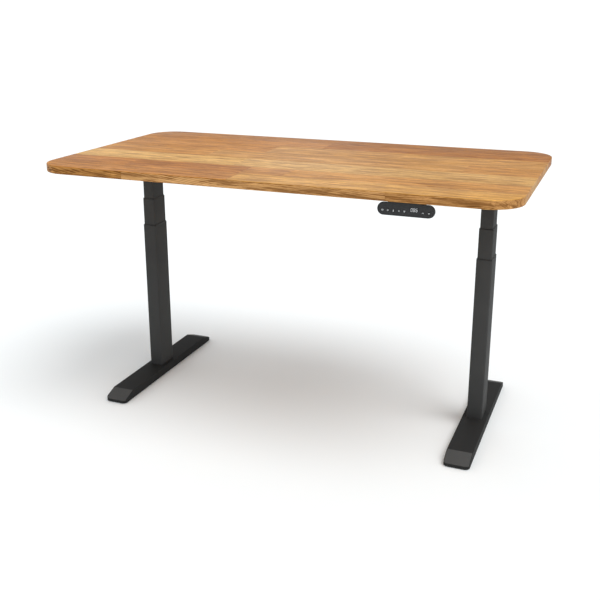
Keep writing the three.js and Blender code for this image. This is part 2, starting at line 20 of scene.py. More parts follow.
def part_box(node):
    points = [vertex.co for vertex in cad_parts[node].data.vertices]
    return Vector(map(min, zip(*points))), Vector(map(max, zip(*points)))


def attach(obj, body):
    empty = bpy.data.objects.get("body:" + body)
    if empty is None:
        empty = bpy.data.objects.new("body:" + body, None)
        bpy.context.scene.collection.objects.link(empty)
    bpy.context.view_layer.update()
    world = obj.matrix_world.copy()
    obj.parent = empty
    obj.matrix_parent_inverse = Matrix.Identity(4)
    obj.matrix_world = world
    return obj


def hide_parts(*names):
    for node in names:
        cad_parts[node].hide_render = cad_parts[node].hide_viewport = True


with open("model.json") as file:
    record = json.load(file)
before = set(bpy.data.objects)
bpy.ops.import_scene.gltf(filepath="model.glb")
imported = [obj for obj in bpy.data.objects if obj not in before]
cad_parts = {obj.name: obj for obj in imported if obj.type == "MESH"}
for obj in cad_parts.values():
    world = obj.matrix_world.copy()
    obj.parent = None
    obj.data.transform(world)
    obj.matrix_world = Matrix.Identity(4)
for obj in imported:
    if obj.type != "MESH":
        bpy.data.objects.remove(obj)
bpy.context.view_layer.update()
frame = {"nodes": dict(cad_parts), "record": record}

# %% [markdown]
# ## Where things are
# Every measure that the pieces share comes from the frame, so a piece always fits it. `span`
# gives a node's two corners as numpy arrays. Lengths are in metres, and `MM` keeps small ones
# readable.

# %% Measures from the frame
MM = 0.001
SIDES = (("left", -1), ("right", 1))


def metres(**sizes):
    """Named sizes, given in millimetres and kept in metres."""
    return {name: size * MM for name, size in sizes.items()}


def span(node):
    """The lowest and highest corner of a node of the frame, as arrays."""
    low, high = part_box(node)
    return np.array(low), np.array(high)


def middle(node):
    """The middle of a node's box."""
    low, high = span(node)
    return (low + high) / 2


top_low, top_high = span("tabletop")
TOP_Z, UNDERSIDE = top_high[2], top_low[2]
COLUMN = {word: middle(f"{word}_outer_tube")[:2] for word, _ in SIDES}
print("top", np.round(top_high - top_low, 4), "columns at", COLUMN)

# %% [markdown]
# ## The camera
# The camera looks down on the desk from the front right. Its place and its three turns fix the
# view: `yaw` turns it to the left, `pitch` tips it down and `roll` levels it. Three unit vectors
# (right, up and backwards) are worked out from the turns and become the camera's axes. The small
# shift of the lens moves the view's centre without turning the camera.

# %% Place the camera
CAMERA_PLACE = (1.01339, -2.58365, 1.34912)
CAMERA_YAW, CAMERA_PITCH, CAMERA_ROLL = 0.39178, 0.29443, -0.00509
CAMERA_LENS, SENSOR = 51.763, 36.0
CAMERA_SHIFT = (0.0217, -0.0624)


def camera_axes(yaw, pitch, roll):
    """Right, up and backward unit vectors of a camera that looks along +Y before it is turned."""
    right = np.array([math.cos(yaw), math.sin(yaw), 0])
    ahead = np.array([-math.sin(yaw) * math.cos(pitch), math.cos(yaw) * math.cos(pitch), -math.sin(pitch)])
    up = np.cross(right, ahead)
    turned_right = right * math.cos(roll) + up * math.sin(roll)
    turned_up = up * math.cos(roll) - right * math.sin(roll)
    return turned_right, turned_up, -ahead


camera_data = bpy.data.cameras.new("studio_camera")
camera_data.sensor_width, camera_data.lens = SENSOR, CAMERA_LENS
camera_data.shift_x, camera_data.shift_y = CAMERA_SHIFT
camera_data.clip_start, camera_data.clip_end = 0.05, 200
camera = bpy.data.objects.new("studio_camera", camera_data)
bpy.context.scene.collection.objects.link(camera)
axes = np.column_stack(camera_axes(CAMERA_YAW, CAMERA_PITCH, CAMERA_ROLL))
camera.matrix_world = Matrix.Translation(CAMERA_PLACE) @ Matrix(axes.tolist()).to_4x4()
bpy.context.scene.camera = camera
print("camera at", CAMERA_PLACE)

# %% [markdown]
# ## Light and floor
# A product studio is nearly shadowless: a white surround lights everything from all sides, and a
# wide light from the upper right gives the floor its soft shadow, a little to the left of the
# desk. It is a sun lamp with a very wide disc, so it lights the far floor as well as the near.
# The floor is one round sheet of paper: level for forty metres, then curving up all round, so
# that there is no horizon behind the desk. A small low light at the back gives the middle of the
# top a faint shine.

# %% Light the studio
SURROUND_COLOUR, SURROUND_STRENGTH = (0.985, 1.0, 1.012, 1), 0.755
KEY_LIGHT = {"strength": 1.54, "towards": (0.449, -0.182, 0.875), "disc": 37.5}
BACK_LIGHT = {"place": (-1.1, 2.97, 2.0), "size": 0.8, "power": 3.2}
FLOOR_FLAT, FLOOR_RIM, RIM_HEIGHT = 40.0, 88.0, 22.0
FLOOR_SIDES, RIM_STEPS = 64, 9
FLOOR_COLOUR, FLOOR_CLOUD = (0.906, 0.925, 0.928, 1), (0.86, 0.91, 0.935, 1)

world = bpy.data.worlds.new("white_surround")
bpy.context.scene.world = world
world.use_nodes = True
world.node_tree.nodes["Background"].inputs["Color"].default_value = SURROUND_COLOUR
world.node_tree.nodes["Background"].inputs["Strength"].default_value = SURROUND_STRENGTH

key_data = bpy.data.lights.new("key_light", "SUN")
key_data.energy, key_data.angle = KEY_LIGHT["strength"], math.radians(KEY_LIGHT["disc"])
key_light = bpy.data.objects.new("key_light", key_data)
key_light.rotation_euler = Vector(KEY_LIGHT["towards"]).to_track_quat("Z", "Y").to_euler()
bpy.context.scene.collection.objects.link(key_light)
back_data = bpy.data.lights.new("back_light", "AREA")
back_data.shape, back_data.size, back_data.energy = "SQUARE", BACK_LIGHT["size"], BACK_LIGHT["power"]
back_light = bpy.data.objects.new("back_light", back_data)
back_light.location = BACK_LIGHT["place"]
away = Vector(BACK_LIGHT["place"]) - Vector((0, 0, TOP_Z))
back_light.rotation_euler = away.to_track_quat("Z", "Y").to_euler()
back_light.visible_camera = False
bpy.context.scene.collection.objects.link(back_light)
bpy.context.scene.view_settings.view_transform = "Standard"
print("surround", SURROUND_STRENGTH, "key light", KEY_LIGHT)

# %% [markdown]
# ## A small language for finishes
# A finish is a tree of shader nodes. Written out node by node it is long and hard to read, so a
# `Value` wraps one socket and turns plain Python maths into Math nodes, and `Finish.node` makes
# any other node from its type, its settings and its inputs.

# %% Shader helpers
class Value:
    """One output of a shader node; + - * / and ** put Math nodes after it."""

    def __init__(self, finish, socket):
        self.finish, self.socket = finish, socket

    def math(self, operation, first, second=0.0):
        return self.finish.node("ShaderNodeMath", {"operation": operation}, {0: first, 1: second})

    def __add__(self, other):
        return self.math("ADD", self, other)

    def __radd__(self, other):
        return self.math("ADD", other, self)

    def __sub__(self, other):
        return self.math("SUBTRACT", self, other)

    def __rsub__(self, other):
        return self.math("SUBTRACT", other, self)

    def __mul__(self, other):
        return self.math("MULTIPLY", self, other)

    def __rmul__(self, other):
        return self.math("MULTIPLY", other, self)

    def __truediv__(self, other):
        return self.math("DIVIDE", self, other)

    def __rtruediv__(self, other):
        return self.math("DIVIDE", other, self)

    def __pow__(self, other):
        return self.math("POWER", self, other)


class Finish:
    """A material whose colour, roughness and relief are worked out by nodes."""

    def __init__(self, name, **fixed):
        self.material = bpy.data.materials.new(name)
        self.material.use_nodes = True
        self.tree = self.material.node_tree
        self.surface = self.tree.nodes["Principled BSDF"]
        for socket, value in fixed.items():
            self.surface.inputs[socket.replace("_", " ")].default_value = value

    def put(self, socket, value):
        if isinstance(value, Value):
            self.tree.links.new(value.socket, socket)
        else:
            socket.default_value = value

    def node(self, kind, settings=None, inputs=None, output=0):
        """A node of that kind: its settings come first, then the values or links of its sockets."""
        made = self.tree.nodes.new(kind)
        for name, value in (settings or {}).items():
            if name == "stops":
                self.set_stops(made.color_ramp.elements, value)
            else:
                setattr(made, name, value)
        for name, value in (inputs or {}).items():
            self.put(made.inputs[name], value)
        return Value(self, made.outputs[output])

    def set_stops(self, elements, stops):
        while len(elements) < len(stops):
            elements.new(0.5)
        for element, (place, colour) in zip(elements, stops):
            element.position, element.color = place, colour

    def place(self):
        """Where the point is on the desk, in metres."""
        return self.node("ShaderNodeTexCoord", output="Object")

    def stretch(self, vector, factors):
        return self.node("ShaderNodeVectorMath", {"operation": "MULTIPLY"}, {0: vector, 1: factors})

    def parts(self, vector):
        """The x, y and z of a vector."""
        split = self.node("ShaderNodeSeparateXYZ", inputs={0: vector}).socket.node
        return [Value(self, split.outputs[i]) for i in range(3)]

    def noise(self, vector, scale=1.0, detail=2.0, roughness=0.5, distortion=0.0):
        return self.node("ShaderNodeTexNoise", inputs={"Vector": vector, "Scale": scale, "Detail": detail,
                                                       "Roughness": roughness, "Distortion": distortion})

    def between(self, value, low, high):
        """0 below low, 1 above high and a smooth step from one to the other."""
        return self.node("ShaderNodeMapRange", {"interpolation_type": "SMOOTHSTEP"},
                         {"Value": value, "From Min": low, "From Max": high})

    def blend(self, factor, first, second):
        return self.node("ShaderNodeMix", {"data_type": "RGBA"}, {0: factor, 6: first, 7: second}, output=2)

    def tint(self, colour, factor, by):
        """The colour multiplied by another, as far as factor says."""
        return self.node("ShaderNodeMix", {"data_type": "RGBA", "blend_type": "MULTIPLY"},
                         {0: factor, 6: colour, 7: by}, output=2)

    def attribute(self, name, output):
        return self.node("ShaderNodeAttribute", {"attribute_name": name}, output=output)

    def wear(self, colour=None, roughness=None, height=None, strength=0.2, distance=0.0003):
        """Joins what varies over the surface to the shader; height goes through a Bump node."""
        if colour is not None:
            self.put(self.surface.inputs["Base Color"], colour)
        if roughness is not None:
            self.put(self.surface.inputs["Roughness"], roughness)
        if height is not None:
            relief = self.node("ShaderNodeBump", inputs={"Strength": strength, "Distance": distance,
                                                         "Height": height})
            self.put(self.surface.inputs["Normal"], relief)
        return self.material


def linear(*eye):
    """A colour as the eye reads it, 0 to 255, as the linear light that shaders work in."""
    share = np.array(eye) / 255
    light = np.where(share <= 0.04045, share / 12.92, ((share + 0.055) / 1.055) ** 2.4)
    return (*light.tolist(), 1.0)


print("a mid grey is", [round(v, 3) for v in linear(128, 128, 128)])

# %% [markdown]
# ## The oak
# The top is glued up from wide staves, and each stave comes from another board, so each has its
# own tone and its own figure. The shader treats a stave as a slice of a log: the distance from
# the log's heart gives the growth rings, a slow noise makes them wander, and a very stretched
# noise gives streaks and pores along the grain. The mesh of the top carries each stave's tone,
# the place of its heart and its lean as attributes, so one shader serves every stave. The same
# rings show as lines on the top and the long edges and as arcs on the end grain.

# %% Oak finish
RING_WIDTH = 4.6 * MM
# How many times finer than a metre each part of the grain is: along the stave, then across it.
FINENESS = {"wander": (1.5, 9.0, 9.0), "sway": (5.0, 30.0, 30.0), "streak": (7.0, 78.0, 78.0),
            "bright": (11.0, 125.0, 125.0), "cloud": (2.2, 14.0, 14.0), "fleck": (26.0, 190.0, 190.0),
            "pore": (70.0, 1500.0, 1500.0)}
# What each part multiplies the stave's tone by where it is strongest.
TINT = {"cloud": (0.89, 0.86, 0.80, 1), "streak": (0.58, 0.52, 0.45, 1), "bright": (1.36, 1.40, 1.52, 1),
        "late": (0.48, 0.40, 0.32, 1), "fleck": (1.34, 1.34, 1.30, 1), "pore": (0.60, 0.50, 0.40, 1),
        "glue": (0.62, 0.50, 0.40, 1)}
# Light, sheen and pale flecks lift a stave's red, green and blue this many times, so its tone is
# divided by them.
STUDIO_GAIN = np.array([1.03, 1.12, 1.95])


def oak_finish():
    """Oiled oak: stave tone, darkened by rings, streaks, pores and the thin glue lines."""
    f = Finish("oiled_oak", Specular_IOR_Level=0.07)
    tone = f.attribute("stave_tone", "Color")
    heart = f.attribute("stave_heart", "Vector")
    lean = f.attribute("stave_lean", "Fac")
    shifted = f.node("ShaderNodeVectorMath", {"operation": "SUBTRACT"}, {0: f.place(), 1: heart})
    x, y, z = f.parts(shifted)

    def grain(name, detail, roughness=0.5):
        return f.noise(f.stretch(shifted, FINENESS[name]), detail=detail, roughness=roughness)

    wander = grain("wander", 2.5, 0.55) - 0.5
    sway = grain("sway", 2.0) - 0.5
    leaned = z + lean * x
    radius = (y * y + leaned * leaned) ** 0.5 + wander * 0.05 + sway * 0.008
    turns = f.node("ShaderNodeMath", {"operation": "FRACT"}, {0: radius / RING_WIDTH})
    late = f.between(turns, 0.35, 0.93) * (1.0 - f.between(turns, 0.93, 1.0))
    streak = f.between(grain("streak", 6, 0.74), 0.44, 0.58)
    bright = f.between(grain("bright", 5, 0.72), 0.52, 0.64)
    cloud = f.between(grain("cloud", 3), 0.36, 0.66)
    fleck = f.between(grain("fleck", 3, 0.6), 0.55, 0.75)
    pore = f.between(grain("pore", 1.5), 0.6, 0.72)
    on_edge = f.between(lean * lean, 0.004, 0.009)
    colour = f.tint(tone, cloud, TINT["cloud"])
    colour = f.tint(colour, streak * (0.85 + on_edge * 0.15), TINT["streak"])
    colour = f.tint(colour, bright * 0.9, TINT["bright"])
    colour = f.tint(colour, late * (0.22 + streak * 0.4) * (0.7 + on_edge * 1.9), TINT["late"])
    colour = f.tint(colour, fleck * 0.9, TINT["fleck"])
    colour = f.tint(colour, pore * 0.5, TINT["pore"])
    near = f.parts(f.attribute("stave_near", "Vector"))
    far = f.parts(f.attribute("stave_far", "Vector"))
    edge = near[0].math("MINIMUM", near[0].math("MINIMUM", near[0], far[0]),
                        near[0].math("MINIMUM", near[1], far[1]))
    glue = 1.0 - f.between(edge, 0.15 * MM, 0.9 * MM)
    colour = f.tint(colour, glue * 0.5, TINT["glue"])
    roughness = 0.40 + late * 0.05 + pore * 0.12 + cloud * 0.04
    height = late * 0.3 - pore * 0.8 - glue * 0.8 + streak * 0.2
    return f.wear(colour, roughness, height, strength=0.22, distance=0.00025)


# %% [markdown]
# ## The coats and mouldings
# Powder coat is a baked resin skin: it is matt, hides the steel and has a fine orange-peel
# relief. On the feet the coat carries painted light and painted shade: the sloped ends are
# painted paler, as if lit, and the walls and flat top are painted darker, as in the shade of the top.
# Moulded plastic has an etched grain, and the hand control's face is polished. Each is a dark
# base with small changes of colour and roughness, because a perfectly even grey looks like a
# drawing.

# %% Coat and plastic finishes
FOOT_SLOPE, FOOT_LIP, FOOT_ROUND = 54 * MM, 10 * MM, 1.8 * MM
# Painted light for the feet's sloped ends and painted shade for their walls and flat top, both applied as
# tints of the coat.
PAINTED_SLOPE_LIGHT, PAINTED_WALL_SHADE = (1.34, 1.34, 1.34, 1), (0.46, 0.46, 0.46, 1)


def painted_light_on_slopes(f, here):
    """Where painted light falls on a foot: 1 on the sloped top of either end, painted paler as if lit, and 0
    on its walls and flat top, painted darker as shade under the top.
    """
    low, high = span("right_foot")
    half, mid = (high - low) / 2, (high + low) / 2
    x, y, z = f.parts(here)
    aside, along = (x * x) ** 0.5 - mid[0], y - mid[1]
    crease, wall, lip = half[1] - FOOT_SLOPE, half[0] - FOOT_ROUND, low[2] + FOOT_LIP
    on_slope = f.between(along * along, (crease - 1 * MM) ** 2, (crease + 0.5 * MM) ** 2)
    on_wall = f.between(aside * aside, (wall - 0.6 * MM) ** 2, (wall + 0.6 * MM) ** 2)
    return on_slope * (1.0 - on_wall) * f.between(z, lip - 1.5 * MM, lip)


def coat_finish(name="charcoal_powder_coat", painted_light_mask=None):
    """Charcoal powder coat: a fine peel over slow cloudy changes, with painted light and painted shade where
    a mask is given.
    """
    f = Finish(name, Specular_IOR_Level=0.035)
    here = f.place()
    peel = f.noise(here, scale=1300.0, detail=2.0, roughness=0.55)
    cloud = f.noise(here, scale=9.0, detail=3.0)
    speck = f.between(f.noise(here, scale=2600.0, detail=1.0), 0.62, 0.74)
    colour = f.blend(cloud, linear(61, 61, 61), linear(70, 70, 69))
    colour = f.blend(speck * 0.35, colour, linear(84, 84, 84))
    if painted_light_mask:
        lit_share = painted_light_mask(f, here)
        # Painted light makes the slopes paler, and painted shade makes the walls and flat top darker.
        colour = f.tint(f.tint(colour, lit_share, PAINTED_SLOPE_LIGHT), 1.0 - lit_share, PAINTED_WALL_SHADE)
    return f.wear(colour, 0.50 + peel * 0.14 + cloud * 0.04, peel, strength=0.30, distance=0.00016)


def moulded_finish(name, dark, light, roughness, grain, level=0.35):
    """Moulded plastic or rubber with an etched grain of the given size."""
    f = Finish(name, Specular_IOR_Level=level)
    here = f.place()
    etched = f.noise(here, scale=1.0 / grain, detail=2.0, roughness=0.6)
    cloud = f.noise(here, scale=22.0, detail=2.0)
    colour = f.blend(cloud, dark, light)
    return f.wear(colour, roughness + etched * 0.12, etched, strength=0.25, distance=0.00012)


def metal_finish(name, dark, light, roughness, along, grain=240.0, metallic=1.0):
    """Bare metal with a tool's lines; along squeezes the lines' direction."""
    f = Finish(name, Metallic=metallic)
    here = f.place()
    lines = f.noise(f.stretch(here, along), scale=grain, detail=3.0, roughness=0.6)
    cloud = f.noise(here, scale=30.0, detail=3.0)
    colour = f.blend(cloud * 0.5 + lines * 0.5, dark, light)
    return f.wear(colour, roughness + lines * 0.14 + cloud * 0.05, lines, strength=0.18, distance=0.00008)


def printed_finish(name, colour, glow=0.0):
    """Pale ink or lit figures, a little uneven as a screen print is; glow sets their emission, which on the
    ink is a painted glow.
    """
    f = Finish(name, Specular_IOR_Level=0.3, Emission_Strength=glow)
    ink = f.noise(f.place(), scale=900.0, detail=2.0)
    shade = f.blend(ink, colour, tuple(0.82 * c for c in colour[:3]) + (1.0,))
    f.put(f.surface.inputs["Emission Color"], shade)
    return f.wear(shade, 0.45 + ink * 0.1)


def board_finish():
    """A circuit board's green lacquer over copper tracks."""
    f = Finish("circuit_board", Specular_IOR_Level=0.5)
    here = f.place()
    tracks = f.node("ShaderNodeTexBrick", inputs={"Vector": here, "Scale": 90.0})
    masked = f.between(f.noise(here, scale=160.0, detail=1.0), 0.45, 0.55)
    colour = f.blend(masked * 0.6, linear(24, 84, 50), linear(44, 118, 70))
    return f.wear(colour, 0.35 + masked * 0.15, tracks, strength=0.1, distance=0.0002)


FINISHES = {
    "oak": oak_finish(),
    "powder_coat": coat_finish(),
    "black_plastic": moulded_finish("black_moulding", linear(28, 28, 29), linear(36, 36, 37), 0.42,
                                    0.9 * MM),
    "gloss_black": moulded_finish("polished_black", linear(30, 30, 31), linear(36, 36, 37), 0.22,
                                  0.6 * MM, 0.4),
    "display": moulded_finish("smoked_lens", linear(16, 16, 18), linear(20, 20, 22), 0.10, 0.8 * MM, 0.5),
    "key_cap": moulded_finish("key_black", linear(26, 26, 27), linear(33, 33, 34), 0.34, 0.5 * MM, 0.35),
    "steel": metal_finish("turned_steel", linear(150, 152, 155), linear(192, 194, 197), 0.26, (1, 1, 14)),
    "bronze": metal_finish("turned_bronze", linear(150, 112, 60), linear(190, 148, 88), 0.32, (1, 1, 10)),
    "zinc": metal_finish("zinc_plate", linear(158, 160, 160), linear(200, 201, 198), 0.34, (1, 1, 1), 130.0),
    "cast_alloy": metal_finish("cast_alloy", linear(120, 122, 124), linear(160, 162, 164), 0.48,
                               (1, 1, 1), 420.0),
    "rubber": moulded_finish("moulded_rubber", linear(30, 30, 30), linear(40, 40, 39), 0.72, 0.7 * MM, 0.25),
    "lead_sheath": moulded_finish("lead_sheath", linear(24, 24, 25), linear(32, 32, 33), 0.5, 0.5 * MM, 0.3),
    "circuit": board_finish(),
}
# The feet's coat, with painted light on the sloped ends and painted shade on the walls and flat top.
FOOT_COAT = coat_finish("charcoal_foot_coat_painted_light", painted_light_on_slopes)
# The icons' printed ink is given a faint painted glow, though ink gives no light; the figures are lit.
GLOWING_ICON_INK = printed_finish("icon_ink_painted_glow", linear(178, 180, 182), 0.25)
LIT_FIGURES = printed_finish("lit_figures", linear(222, 224, 226), 0.65)
ZINC_SCREW = FINISHES["zinc"]
BLACK_SCREW = metal_finish("blackened_screw", linear(46, 46, 47), linear(64, 64, 65), 0.4, (1, 1, 1),
                           300.0, 0.8)

SLOT_OF = {part["node"]: part["material_slot"] for part in frame["record"]["subparts"]}
for node, thing in frame["nodes"].items():
    thing.data.materials.clear()
    thing.data.materials.append(FINISHES[SLOT_OF[node]])
print(len(FINISHES), "finishes on", len(SLOT_OF), "nodes")

floor_finish = Finish("studio_floor", Specular_IOR_Level=0.0)
paper = floor_finish.noise(floor_finish.place(), scale=3.0, detail=2.0)
floor_finish.wear(floor_finish.blend(paper * 0.2, FLOOR_COLOUR, FLOOR_CLOUD), 0.95)


def floor_rings():
    """Circles from the level disc to the rim, whose height grows as the square of the way out."""
    turn = np.linspace(0, 2 * np.pi, FLOOR_SIDES, endpoint=False)
    out = np.linspace(0, 1, RIM_STEPS + 1)[:, None]
    reach = FLOOR_FLAT + (FLOOR_RIM - FLOOR_FLAT) * out
    height = RIM_HEIGHT * out ** 2 + 0 * turn
    return np.dstack([reach * np.cos(turn), reach * np.sin(turn), height]).reshape(-1, 3)


floor_mesh = bpy.data.meshes.new("studio_floor")
here = np.arange(RIM_STEPS)[:, None] * FLOOR_SIDES + np.arange(FLOOR_SIDES)
ahead = np.roll(here, -1, axis=1)
floor_sides = np.dstack([here, here + FLOOR_SIDES, ahead + FLOOR_SIDES, ahead]).reshape(-1, 4)
floor_faces = [list(range(FLOOR_SIDES)), *floor_sides.tolist()]
floor_mesh.from_pydata(floor_rings().tolist(), [], floor_faces)
floor_mesh.polygons.foreach_set("use_smooth", [False] + [True] * len(floor_sides))
floor_mesh.materials.append(floor_finish.material)
floor = bpy.data.objects.new("studio_floor", floor_mesh)
bpy.context.scene.collection.objects.link(floor)
print("floor", 2 * FLOOR_RIM, "m across")

# %% [markdown]
# ## A kit for shapes
# Almost every part of a desk like this is drawn, folded, turned or moulded, so a few kinds of
# surface are enough. Each is a grid of points that numpy works out at once: an outline carried
# along a line, a profile turned about an axis, or a strip of sheet with rounded folds. `Form`
# gathers the grids of one piece and makes the mesh: it joins points that coincide, turns every
# face outwards and lets the piece ride on its body.

# %% Shape kit
def rounded_rect(width, height, radius, steps=6):
    """A rounded rectangle, anticlockwise: quarter circles about centres one radius in from the corners."""
    quarter = np.linspace(0, np.pi / 2, steps + 1) + np.arange(4)[:, None] * np.pi / 2
    centres = np.array([(1, 1), (-1, 1), (-1, -1), (1, -1)]) * (np.array([width, height]) / 2 - radius)
    ring = centres[:, None] + radius * np.stack([np.cos(quarter), np.sin(quarter)], -1)
    return ring.reshape(-1, 2)


def circle(radius, steps=32):
    """Points at even angles on a circle."""
    angle = np.linspace(0, 2 * np.pi, steps, endpoint=False)
    return radius * np.column_stack([np.cos(angle), np.sin(angle)])


def fillet(corners, radius, steps=4, closed=False):
    """A line with rounded corners: each arc touches its two sides at radius * tan(half the turn)."""
    p = np.asarray(corners, float)
    before, after = np.roll(p, 1, 0) - p, np.roll(p, -1, 0) - p
    a = before / np.linalg.norm(before, axis=1)[:, None]
    b = after / np.linalg.norm(after, axis=1)[:, None]
    half = (np.pi - np.arccos(np.clip((a * b).sum(1), -1, 1))) / 2
    radius = np.broadcast_to(np.asarray(radius, float), half.shape)
    inward = (a + b) / np.maximum(np.linalg.norm(a + b, axis=1), 1e-9)[:, None]
    centre = p + inward * (radius / np.cos(half))[:, None]
    start = p + a * (radius * np.tan(half))[:, None] - centre
    end = p + b * (radius * np.tan(half))[:, None] - centre
    share = np.linspace(0, 1, steps + 1)[None, :, None]
    turn = np.maximum(2 * half, 1e-6)[:, None, None]
    arc = (np.sin((1 - share) * turn) * start[:, None] + np.sin(share * turn) * end[:, None]) / np.sin(turn)
    arcs = centre[:, None] + arc
    if not closed:
        return np.vstack([p[:1], arcs[1:-1].reshape(-1, 2), p[-1:]])
    return arcs.reshape(-1, 2)


def strip(corners, radius, thickness, steps=4):
    """A folded sheet seen from its end: the filleted middle line, and half the thickness to each side."""
    line = fillet(corners, radius, steps)
    along = np.gradient(line, axis=0)
    along /= np.linalg.norm(along, axis=1)[:, None]
    across = np.column_stack([-along[:, 1], along[:, 0]]) * thickness / 2
    return np.vstack([line + across, (line - across)[::-1]])


def level(ring, height):
    """A flat outline as points at that height."""
    return np.column_stack([ring, np.full(len(ring), height)])


def grid_faces(rows, columns, around=True, closed=False):
    """The quads of a grid stored row by row; around joins its last column to its first, closed its rows."""
    r, c = np.meshgrid(np.arange(rows - (not closed)), np.arange(columns - (not around)), indexing="ij")
    up, on = (r + 1) % rows, (c + 1) % columns
    return np.stack([r * columns + c, r * columns + on, up * columns + on, up * columns + c],
                    -1).reshape(-1, 4)


def ladder(count):
    """Quads across a ring whose point i faces point count - 1 - i."""
    i = np.arange(count // 2 - 1)
    return np.column_stack([i, i + 1, count - 2 - i, count - 1 - i])


def to_x(points):
    """Outlines drawn in Y and Z and carried along X."""
    return points[..., [2, 0, 1]]


def to_y(points):
    """Outlines drawn in Z and X and carried along Y."""
    return points[..., [1, 2, 0]]


def swap_yz(points):
    """Outlines drawn in X and Z and carried along Y; the mesh's faces are turned outwards later."""
    return points[..., [0, 2, 1]]


class Form:
    """The grids of one piece, and the mesh that they make."""

    def __init__(self):
        self.points, self.faces, self.marks, self.count = [], [], [], 0

    def add(self, points, faces, finish=0):
        """Points, and faces as arrays of corner numbers; finish is the number of the material."""
        self.points.append(np.asarray(points, float).reshape(-1, 3))
        self.faces += [[int(i) + self.count for i in face] for face in faces]
        self.marks += [finish] * len(faces)
        self.count += len(self.points[-1])
        return self

    def loft(self, rings, place=lambda p: p, caps="flat", closed=False, finish=0, shift=(0, 0, 0)):
        """Rings of equal count joined in order. Caps are flat faces, ladders, or none."""
        rings = np.stack(rings)
        rows, columns = rings.shape[:2]
        faces = [*grid_faces(rows, columns, closed=closed)]
        last = (rows - 1) * columns
        if caps == "flat" and not closed:
            faces += [np.arange(columns)[::-1], last + np.arange(columns)]
        if caps == "ladder" and not closed:
            faces += [*ladder(columns)[:, ::-1], *(ladder(columns) + last)]
        return self.add(place(rings).reshape(-1, 3) + np.asarray(shift), faces, finish)

    def turned(self, profile, segments=40, place=lambda p: p, closed=False, finish=0, shift=(0, 0, 0)):
        """A profile of (radius, height) pairs turned about the upright axis, then placed."""
        profile = np.asarray(profile, float)
        spokes = level(circle(1, segments), 0.0)
        rings = profile[:, :1, None] * spokes + profile[:, 1:, None] * np.array([0, 0, 1.0])
        return self.loft(rings, place, closed=closed, finish=finish, shift=shift)

    def slab(self, outline, low, high, edge=0.0, place=lambda p: p, finish=0, shift=(0, 0, 0)):
        """An upright prism with its two rims rounded off by shrinking the outline about its middle."""
        outline = np.asarray(outline, float)
        if not edge:
            return self.loft([level(outline, low), level(outline, high)], place, finish=finish, shift=shift)
        mid, reach = (outline.max(0) + outline.min(0)) / 2, (outline.max(0) - outline.min(0)) / 2
        turn = np.linspace(0, np.pi / 2, 4)
        inset = edge * (1 - np.sin(turn))
        heights = np.concatenate([low + edge * (1 - np.cos(turn)), high - edge * (1 - np.cos(turn))[::-1]])
        insets = np.concatenate([inset, inset[::-1]])
        rings = [level(mid + (outline - mid) * (1 - d / reach), z) for d, z in zip(insets, heights)]
        return self.loft(rings, place, finish=finish, shift=shift)

    def block(self, low, high, edge=0.4 * MM, corner=0.8 * MM, finish=0):
        """An upright rounded block between two corners."""
        low, high = np.asarray(low, float), np.asarray(high, float)
        low, high = np.minimum(low, high), np.maximum(low, high)
        size = high - low
        outline = rounded_rect(size[0], size[1], min(corner, 0.4 * size[:2].min()), 3)
        return self.slab(outline, low[2], high[2], min(edge, 0.3 * size.min()), finish=finish,
                         shift=(*((low + high) / 2)[:2], 0))

    def plate(self, outline, holes, low, high, place=lambda p: p, finish=0, shift=(0, 0, 0)):
        """A flat plate with holes: its face is a Delaunay mesh of the outline less the holes."""
        loops = [np.asarray(outline, float), *[np.asarray(h, float) for h in holes]]
        points = np.vstack(loops)
        starts = np.cumsum([0] + [len(loop) for loop in loops])
        edges = [(s + i, s + (i + 1) % n) for s, n in zip(starts, map(len, loops)) for i in range(n)]
        flat = delaunay_2d_cdt([p.tolist() for p in points], edges, [], 2, 1e-7)
        corners = np.array([list(v) for v in flat[0]])
        mids = np.array([corners[list(t)].mean(0) for t in flat[2]])
        keep = np.ones(len(mids), bool)
        for hole in loops[1:]:
            keep &= ~inside(mids, hole)
        faces = [t for t, k in zip(flat[2], keep) if k]
        both = np.vstack([level(corners, low), level(corners, high)])
        walls = [(a, b, b + len(corners), a + len(corners)) for a, b in edges]
        turned_over = [face[::-1] for face in faces]
        raised = [[i + len(corners) for i in face] for face in faces]
        return self.add(place(both) + np.asarray(shift), turned_over + raised + walls, finish)

    def mesh(self, name):
        """The mesh: coinciding points joined, faces outwards, smooth but for edges over 32 degrees."""
        data = bpy.data.meshes.new(name)
        data.from_pydata(np.vstack(self.points).tolist(), [], self.faces)
        data.polygons.foreach_set("material_index", self.marks)
        work = bmesh.new()
        work.from_mesh(data)
        bmesh.ops.remove_doubles(work, verts=work.verts, dist=2e-6)
        bmesh.ops.recalc_face_normals(work, faces=work.faces)
        work.to_mesh(data)
        work.free()
        data.polygons.foreach_set("use_smooth", np.ones(len(data.polygons), bool))
        data.set_sharp_from_angle(angle=math.radians(32))
        return data

    def piece(self, name, body, slot, replaces=(), finishes=None, bevel=0.0):
        """The finished piece, riding on its body and standing for the nodes it replaces."""
        data = self.mesh(name)
        for finish in finishes or [FINISHES[slot]]:
            data.materials.append(finish)
        thing = bpy.data.objects.new(name, data)
        bpy.context.scene.collection.objects.link(thing)
        if bevel:
            rounding = thing.modifiers.new("softened_edges", "BEVEL")
            rounding.width, rounding.segments, rounding.limit_method = bevel, 2, "ANGLE"
            rounding.angle_limit = math.radians(50)
        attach(thing, body)
        if replaces:
            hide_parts(*replaces)
        return thing


